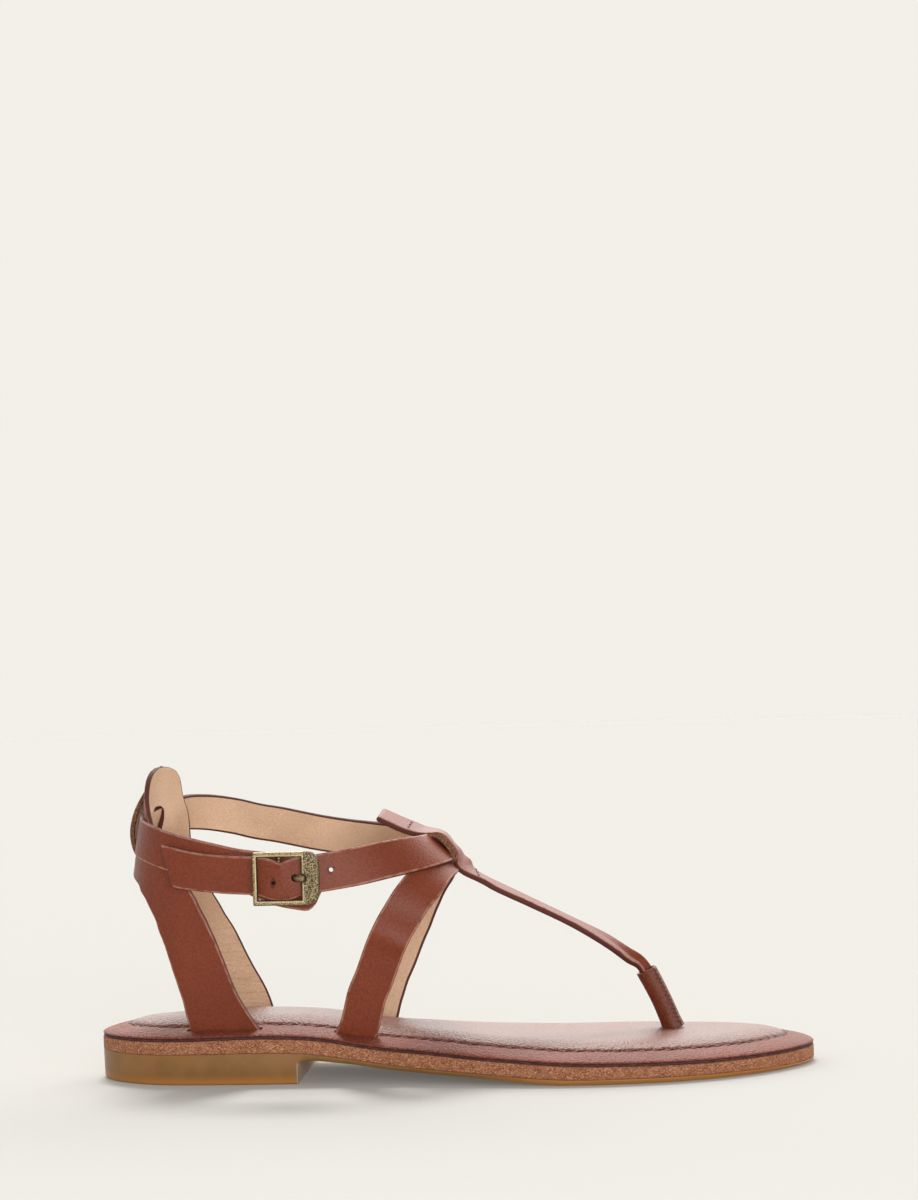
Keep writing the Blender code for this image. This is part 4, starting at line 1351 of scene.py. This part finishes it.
def footbed_finish():
    """Crown and rim in dyes of their own, painted shade along the stitched groove between them and a
    pebbled relief.
    """
    material, ink, spot = new_finish("footbed_leather")
    place = ink.node("ShaderNodeAttribute", {"attribute_name": "place"}, output="Vector")
    _, from_rim, _ = place.split()
    rim = from_rim.step(10.0, 9.3)
    # A band round the stitched groove is painted dark: painted shade in the groove.
    groove_shade = from_rim.band(9.1, 10.4, 0.3)
    cloud = spot.noise(0.06, 3.0)
    pebbles = spot.cells(1.1)
    pores = spot.noise(2.4, 3.0)
    tone = (cloud * 0.4 + pores * 0.7 - pebbles * 0.4).step(0.12, 0.64)
    colour = rim.blend(tone.blend(*CROWN_HIDE), tone.blend(*RIM_HIDE))
    colour = groove_shade.blend(colour, GROOVE_PAINTED_SHADE)
    relief = pores * 0.10 - pebbles * 0.28
    close_finish(ink, relief, Base_Color=colour, Roughness=0.34 + cloud * 0.1 + rim * 0.20,
                 Coat_Weight=0.05 - rim * 0.04, Coat_Roughness=0.28, Specular_IOR_Level=0.22)
    return material


dress(footbed, footbed_finish(), "footbed_leather", "insole")

# %% [markdown]
# ## Thread
#
# A lockstitch in waxed dark-red thread runs round the footbed's groove, and short tacks hold the
# T-strap. A stitch is a short capsule whose ends dive into the leather. All stitches of a seam are
# one array: a capsule's grid, placed at every stitch by its middle, its run and its up direction.

# %% Stitches from arrays
STITCH_ROWS = 9
STITCH_SIDES = 8
THREAD = ((0.075, 0.018, 0.012), (0.150, 0.042, 0.028))


def stitches(name, middles, runs, ups, length, radius, dive):
    """Capsules: radius falls to 0 at the ends as √(1 - u⁴), and they dive by u² times a depth."""
    runs = unit(runs)
    aside = unit(np.cross(runs, ups))
    ups = np.cross(aside, runs)
    u = np.linspace(-1.0, 1.0, STITCH_ROWS)
    turn = np.linspace(0.0, 2 * math.pi, STITCH_SIDES, endpoint=False)
    thin = radius * np.sqrt(1.0 - u**4)
    rise = thin[:, None] * np.sin(turn) - dive * (u**2)[:, None]
    grid = (middles[:, None, None] + runs[:, None, None] * (u * length / 2)[:, None, None]
            + aside[:, None, None] * (thin[:, None] * np.cos(turn))[..., None]
            + ups[:, None, None] * rise[..., None])
    one = quads(STITCH_ROWS, STITCH_SIDES, wrap=True)
    start = np.arange(len(middles))[:, None, None] * STITCH_ROWS * STITCH_SIDES
    return mesh_object(name, grid, [(one[None] + start).reshape(-1, 4)])


def thread_finish():
    """Two dark reds in a fine noise, like the turns of a twisted thread."""
    material, ink, spot = new_finish("waxed_thread")
    twist = spot.noise(2.5, 2.0)
    colour = twist.step(0.35, 0.65).blend(*THREAD)
    close_finish(ink, twist * 0.08, Base_Color=colour, Roughness=0.55)
    return material


waxed_thread = thread_finish()
print("one stitch:", len(quads(STITCH_ROWS, STITCH_SIDES, wrap=True)), "faces")

# %% Footbed seam
SEAM_STITCH = (3.5, 0.42, 0.45)  # length, radius and dive
STITCH_RISE = 0.3
AHEAD = 0.5
FOOT_CLEAR = 9.0

groove_points = footbed_points(groove, GROOVE_INSET)
closed = np.concatenate([groove_points, groove_points[:1]])
count = round(groove_length[-1] / STITCH_PITCH)
at = (np.arange(count) + 0.5) * groove_length[-1] / count
middles, ahead = (np.stack([np.interp(place, groove_length, axis) for axis in closed.T], axis=-1)
                  for place in (at, at + AHEAD))
feet_middles = np.stack([foot[0][0].mean(axis=0) for foot in feet])
away = np.linalg.norm(middles[:, None, :2] - feet_middles[None, :, :2], axis=-1).min(axis=1)
seen = away > FOOT_CLEAR
middles, ahead = middles[seen], ahead[seen]
ups = np.zeros_like(middles) + (0.0, 0.0, 1.0)
footbed_seam = stitches("footbed_seam", middles + ups * STITCH_RISE, ahead - middles, ups, *SEAM_STITCH)
dress(footbed_seam, waxed_thread, "footbed_leather")
print("footbed seam:", int(seen.sum()), "stitches of", count)

# %% Tacks on the T-strap and whip stitches on the sleeve
TACK_X = (-15.1, 7.6)
TACK_SPREAD = (-3.2, 0.0, 3.2)
TACK_STITCH = (2.4, 0.45, 0.4)
WHIP_COUNT = 13
WHIP_ENDS = (0.6, 0.8)  # room over the first stitch and in all, in stitches
WHIP_SINK = 0.05
WHIP_SLANT = 0.45
WHIP_STITCH = (2.6, 0.36, 0.7)

tack_rows = [int(np.argmin(np.abs(t_places[:, 0] - x))) for x in TACK_X]
tack_row = np.repeat(tack_rows, len(TACK_SPREAD))
tack_spread = np.tile(TACK_SPREAD, len(TACK_X))[:, None]
run = unit(np.gradient(t_places, axis=0))[tack_row]
up = t_normals[tack_row]
aside = np.cross(up, run)
tack_middles = t_places[tack_row] + up * t_thickness[tack_row][:, None] + aside * tack_spread
tacks = stitches("strap_tacks", tack_middles, aside, up, *TACK_STITCH)
dress(tacks, waxed_thread, "strap_leather")

whip_down = (np.arange(WHIP_COUNT) + WHIP_ENDS[0]) / (WHIP_COUNT + WHIP_ENDS[1])
whip_middles = sleeve_ring(whip_down, WHIP_SINK, np.full(WHIP_COUNT, SEAM_TURN))
whip_out = sleeve_fore * math.cos(SEAM_TURN) + sleeve_side * math.sin(SEAM_TURN)
whip_run = np.cross(whip_out, sleeve_axis) + sleeve_axis * WHIP_SLANT
whip_runs, whip_outs = (np.zeros_like(whip_middles) + way for way in (whip_run, whip_out))
whips = stitches("sleeve_whips", whip_middles, whip_runs, whip_outs, *WHIP_STITCH)
dress(whips, waxed_thread, "strap_leather")

# %% [markdown]
# ## Buckle
#
# The buckle is a small casting: a square frame with a wide plate on its toe side, a centre bar
# behind it and a wire prong. Two matching loops, the window and the outline, are joined by a face
# with rounded edges, which is a grid of loop by share. The plate has a hollow for the prong's head.

# %% Frame of the buckle
BUCKLE_FRAME = (22.5, 18.3)
FRAME_CORNERS = (3.4, 0.7)
BUCKLE_WINDOW = (15.2, 14.7)
WINDOW_CORNERS = (0.6, 0.6)
BUCKLE_LIFT = 6.15
BUCKLE_DEPTH = 1.9
FRAME_SOFT = 0.55
PLATE_BOW = 0.5
PLATE_START = 8.0
NOTCH_LENGTH = 1.9
NOTCH_HALF = 1.45
NOTCH_DEPTH = 1.0
NOTCH_EDGE = 0.5
NOTCH_LEVELS = (0.2, 0.8)  # the hollow starts over this level and is full this much higher
SIDE_STEPS = 30
TURN_STEPS = 8
FACE_STEPS = 20
ROUND_STEPS = 5


def rounded_loop(size, corners, shift):
    """Rectangle with round corners, toe end first: each side and each corner in even steps."""
    half = np.array(size) / 2
    parts = []
    signs = ((1, 1), (-1, 1), (-1, -1), (1, -1))
    for k, (sx, sz) in enumerate(signs):
        radius = corners[0] if sx > 0 else corners[1]
        turn = np.linspace(0.0, math.pi / 2, TURN_STEPS) + k * math.pi / 2
        middle = np.array([sx * (half[0] - radius), sz * (half[1] - radius)])
        parts.append(middle + radius * np.stack([np.cos(turn), np.sin(turn)], axis=-1))
    loop = []
    for part, following in zip(parts, parts[1:] + parts[:1]):
        side_share = np.linspace(0.0, 1.0, SIDE_STEPS)[1:-1, None]
        loop += [part, part[-1] + (following[0] - part[-1]) * side_share]
    return np.concatenate(loop) + (shift, 0.0)


def buckle_point(shift, rise, lift):
    """Point at a shift to the toe and a rise from the buckle's middle, lifted off the last."""
    return np.stack([BUCKLE_X + shift, BUCKLE_WALL - lift, BUCKLE_Z + rise], axis=-1)


def frame_points():
    """Underside, outer edge, face and window edge of the frame as rows round its loops."""
    outer = rounded_loop(BUCKLE_FRAME, FRAME_CORNERS, 0.0)
    bow = 1.0 - (outer[:, 1] / (BUCKLE_FRAME[1] / 2)) ** 2
    outer[:, 0] += PLATE_BOW * smooth(outer[:, 0] / PLATE_START) * bow
    window = rounded_loop(BUCKLE_WINDOW, WINDOW_CORNERS, WINDOW_SHIFT)
    width = np.linalg.norm(outer - window, axis=-1)
    way = (window - outer) / width[:, None]
    turn = np.linspace(0.0, math.pi / 2, ROUND_STEPS)
    face = np.linspace(0.0, 1.0, FACE_STEPS)[1:-1]
    back, rise = FRAME_SOFT * (1.0 - np.cos(turn)), FRAME_SOFT * (np.sin(turn) - 1.0)
    rows = [(window, 0.0), (outer, 0.0)]
    rows += [(outer + way * b, BUCKLE_DEPTH + r) for b, r in zip(back, rise)]
    rows += [(outer + way * (FRAME_SOFT + (width - 2 * FRAME_SOFT) * share)[:, None], BUCKLE_DEPTH)
             for share in face]
    rows += [(window - way * b, BUCKLE_DEPTH + r) for b, r in zip(back[::-1], rise[::-1])]
    rows.append((window, 0.0))
    points = []
    edge = WINDOW_SHIFT + BUCKLE_WINDOW[0] / 2
    for loop, level in rows:
        past = np.clip(loop[:, 0], edge - NOTCH_LENGTH, edge + NOTCH_LENGTH - NOTCH_HALF)
        from_line = np.hypot(loop[:, 0] - past, loop[:, 1])
        high = smooth((level - NOTCH_LEVELS[0]) / NOTCH_LEVELS[1])
        notch = NOTCH_DEPTH * smooth((NOTCH_HALF - from_line) / NOTCH_EDGE) * high
        points.append(buckle_point(loop[:, 0], loop[:, 1], BUCKLE_LIFT + level - notch))
    return np.stack(points)


brass_frame = closed_grid("brass_frame", frame_points())
print("buckle frame:", BUCKLE_FRAME[0] + PLATE_BOW, "by", BUCKLE_FRAME[1], "mm")

# %% [markdown]
# The brass is antiqued: blackened all over, then rubbed bright again on what stands out. Two noises
# give the pits and stains, and on the frame the distance from the window makes its rim bright, partly
# rubbed wear and partly a painted highlight, its inner walls black and the plate duller. Painting a
# mask by hand would tie it to one mesh.

# %% Brass finish
BRASS = ((0.470, 0.370, 0.205), (0.060, 0.042, 0.024))


def brass_finish(name, framed=False):
    """Speckled old brass; on the frame the window's walls are dark."""
    material, ink, spot = new_finish(name)
    speckle = spot.noise(3.2, 3.0, 0.65)
    stain = spot.noise(0.35, 3.0)
    dark = speckle.step(0.60, 0.42) * 0.9 + stain.step(0.45, 0.30) * 0.2
    if framed:
        x, _, z = spot.split()
        across = (x - (BUCKLE_X + WINDOW_SHIFT)).size() - BUCKLE_WINDOW[0] / 2
        upward = (z - BUCKLE_Z).size() - BUCKLE_WINDOW[1] / 2
        off_window = across.math("MAXIMUM", across, upward)
        # The rim by the window is made brighter: partly rubbed wear, partly a painted highlight on its
        # rounded edge.
        edge = off_window.band(0.35, 0.75, 0.15)
        plate = x.step(BUCKLE_X + 6.0, BUCKLE_X + 7.0) * (1 - edge)
        dark = dark * (1 - edge * 0.8) + plate * 0.25 + off_window.step(0.35, 0.10)
    colour = dark.math("MINIMUM", dark, 1.0).blend(*BRASS)
    close_finish(ink, speckle * 0.10, Base_Color=colour, Roughness=0.36 + dark * 0.3, Metallic=0.9)
    return material


antique_brass = brass_finish("antique_brass")
dress(brass_frame, brass_finish("framed_brass", framed=True), "antique_brass", "buckle_frame")

# %% [markdown]
# The centre bar sits on two lugs behind the frame, under the strap. The prong is a bent wire from
# the bar through its hole, over the strap and into the hollow of the plate, with a rounded head.

# %% Bar, lugs and prong
BAR_SHIFT = -2.6
BAR_LIFT = 2.95
BAR_RADIUS = 0.8
BAR_SIDES = 16
LUG_INSET = 1.0
LUG_SINK = 0.6
PRONG_RADIUS = 0.85
PRONG_SIDES = 20
PRONG_STEPS = 5
HEAD_RADIUS = 1.25
HEAD_LENGTH = 0.8  # of its rounded end, as a share of its radius
HEAD_STEPS = 5
PRONG = np.array([
    # shift, lift, radius
    (-1.45, 2.95, PRONG_RADIUS),
    (1.3, 3.0, PRONG_RADIUS),
    (2.4, 3.6, PRONG_RADIUS),
    (3.0, 4.9, PRONG_RADIUS),
    (3.5, 6.4, PRONG_RADIUS),
    (4.1, 7.3, 0.95),
    (5.0, 7.7, 1.15),
    (6.0, 7.75, HEAD_RADIUS),
])

shift, lift, radius = along_rows(PRONG, PRONG_STEPS).T
path = buckle_point(shift, np.zeros(len(shift)), lift)
cap = np.linspace(0.0, 1.0, HEAD_STEPS + 1)[1:]
head = path[-1] + unit(path[-1] - path[-2]) * (HEAD_RADIUS * HEAD_LENGTH * cap)[:, None]
tail = path[:1] - unit(path[1] - path[0]) * POLE
radii = np.concatenate([[0.0], radius, HEAD_RADIUS * np.sqrt(1.0 - cap**2)])
prong = turned("brass_prong", np.concatenate([tail, path, head]), radii, PRONG_SIDES)
dress(prong, antique_brass, "antique_brass", "buckle_prong")

lug_rise = BUCKLE_FRAME[1] / 2 - LUG_INSET
half_rise = np.array([lug_rise, lug_rise, lug_rise - LUG_INSET])
half_lift = np.array([BUCKLE_LIFT + LUG_SINK, BUCKLE_LIFT, BAR_LIFT])
bar_rise = np.concatenate([-half_rise, half_rise[::-1]])
bar_lift = np.concatenate([half_lift, half_lift[::-1]])
bar_path = buckle_point(np.full(len(bar_rise), BAR_SHIFT), bar_rise, bar_lift)
bar_radii = np.full(len(bar_path), BAR_RADIUS)
bar_radii[[0, -1]] = 0.0
centre_bar = turned("brass_bar", bar_path, bar_radii, BAR_SIDES, over=(1.0, 0.0, 0.0))
dress(centre_bar, antique_brass, "antique_brass", "buckle_frame")

# %% [markdown]
# ## Floor, light and camera
#
# The sandal stands on a pale floor in a bright studio. A wide soft sun lights its outer side, a weak
# one fills in from the heel and one from above and behind throws the shadow to the viewer, close to
# the sole. The sky is dim in front and bright behind, with a softbox there that gives the leather its
# gloss. To the camera the world shows the colour that the lit floor has, so that no horizon is seen.

# %% Floor and light
STUDIO = (0.891, 0.868, 0.809)
SKY_TINT = (1.0, 0.985, 0.96)
FLOOR_SIZE = 6000.0
FLOOR_LEVELS = (-10.0, -0.02)
FLOOR_COLOUR = (0.434, 0.425, 0.402)
FLOOR_GLOW = 0.1134
SKY_FRONT = 0.42
SKY_BACK = 1.5
SKY_TOP = 0.5
SOFTBOX = 3.3
SUNS = (
    # name, strength, spread in degrees, way of the light
    ("key_light", 2.7, 40.0, (-0.34, 0.93, -0.08)),
    ("left_light", 0.12, 40.0, (0.85, 0.45, -0.20)),
    ("back_light", 2.6, 18.0, (0.05, -0.50, -0.85)),
)


def studio_floor():
    """Flat square slab, its top a hair under the sole."""
    half = FLOOR_SIZE / 2
    square = np.array([(-half, -half), (half, -half), (half, half), (-half, half)])
    slab = np.stack([np.column_stack([square, np.full(4, level)]) for level in FLOOR_LEVELS])
    floor = mesh_object("studio_floor", slab, [quads(2, 4, wrap=True), np.arange(8).reshape(2, 4)])
    material, ink, _ = new_finish("pale_floor")
    close_finish(ink, None, Base_Color=FLOOR_COLOUR, Roughness=0.95, Specular_IOR_Level=0.0,
                 Emission_Color=(*STUDIO, 1.0), Emission_Strength=FLOOR_GLOW)
    floor.data.materials.append(material)


def studio_world():
    """Plain colour for the camera; the light has a dim front and top, and a softbox in a bright back."""
    world = bpy.data.worlds.new("studio")
    bpy.context.scene.world = world
    world.use_nodes = True
    world.node_tree.nodes.clear()
    ink = Wire(world.node_tree)
    _, away, up = ink.node("ShaderNodeTexCoord", output="Generated").split()
    level = SKY_FRONT + away.step(-0.1, 0.6) * (SKY_BACK - SKY_FRONT)
    softbox = away.step(0.45, 0.70) * up.band(0.28, 0.75, 0.12)
    strength = level + up.step(0.15, 0.95) * (SKY_TOP - level) + softbox * SOFTBOX
    light = ink.node("ShaderNodeBackground", None, {"Color": (*SKY_TINT, 1.0), "Strength": strength})
    seen = ink.node("ShaderNodeBackground", None, {"Color": (*STUDIO, 1.0), "Strength": 1.0})
    camera_ray = ink.node("ShaderNodeLightPath", output="Is Camera Ray")
    both = ink.node("ShaderNodeMixShader", None, {0: camera_ray, 1: light, 2: seen})
    ink.node("ShaderNodeOutputWorld", None, {"Surface": both})


def put(obj, axes, place):
    """Stand an object at a place with its own x, y and z along three directions."""
    rows = [[*(axis[k] for axis in axes), place[k]] for k in range(3)]
    obj.matrix_world = Matrix(rows + [[0.0, 0.0, 0.0, 1.0]])


def studio_sun(name, strength, spread, way):
    """Very soft sun that shines along a direction."""
    light = bpy.data.lights.new(name, "SUN")
    light.energy = strength
    light.angle = math.radians(spread)
    lamp = bpy.data.objects.new(name, light)
    bpy.context.scene.collection.objects.link(lamp)
    back = unit(-np.array(way))
    right = unit(np.cross((0.0, 1.0, 0.0), back))
    put(lamp, (right, np.cross(back, right), back), np.zeros(3))


studio_floor()
studio_world()
for sun in SUNS:
    studio_sun(*sun)
bpy.context.scene.view_settings.view_transform = "Standard"
print("suns:", ", ".join(sun[0] for sun in SUNS))

# %% [markdown]
# The camera looks level along the outer side, turned four degrees to the toe and rolled a little,
# as in the photograph. Its place is written from the sandal: how far away it stands, how high, and
# how far to the side. The lens follows from the focal length in pixels of a frame 1200 high.

# %% Camera
FRAME_HEIGHT = 1200
FOCAL_PIXELS = 3079.0
CAMERA_TURN = math.radians(4.0)
CAMERA_ROLL = math.radians(1.65)
CAMERA_AWAY = 1090.0
CAMERA_HEIGHT = 166.0
CAMERA_ASIDE = 5.33
SENSOR = 36.0
NEAREST = 0.05


def photo_camera():
    """Camera whose axes are the turned and rolled right, up and back directions."""
    view = np.array([-math.sin(CAMERA_TURN), math.cos(CAMERA_TURN), 0.0])
    right = np.array([math.cos(CAMERA_TURN), math.sin(CAMERA_TURN), 0.0])
    up = np.array([0.0, 0.0, 1.0])
    place = (right * CAMERA_ASIDE - view * CAMERA_AWAY + up * CAMERA_HEIGHT) * MM
    c, s = math.cos(CAMERA_ROLL), math.sin(CAMERA_ROLL)
    axes = (right * c - up * s, right * s + up * c, -view)
    lens = bpy.data.cameras.new("photo_camera")
    lens.sensor_width = SENSOR
    lens.lens = FOCAL_PIXELS / FRAME_HEIGHT * SENSOR
    lens.clip_start = NEAREST
    camera = bpy.data.objects.new("photo_camera", lens)
    bpy.context.scene.collection.objects.link(camera)
    put(camera, axes, place)
    bpy.context.scene.camera = camera
    print("camera at", np.round(place, 3), "lens", round(lens.lens, 1))


photo_camera()
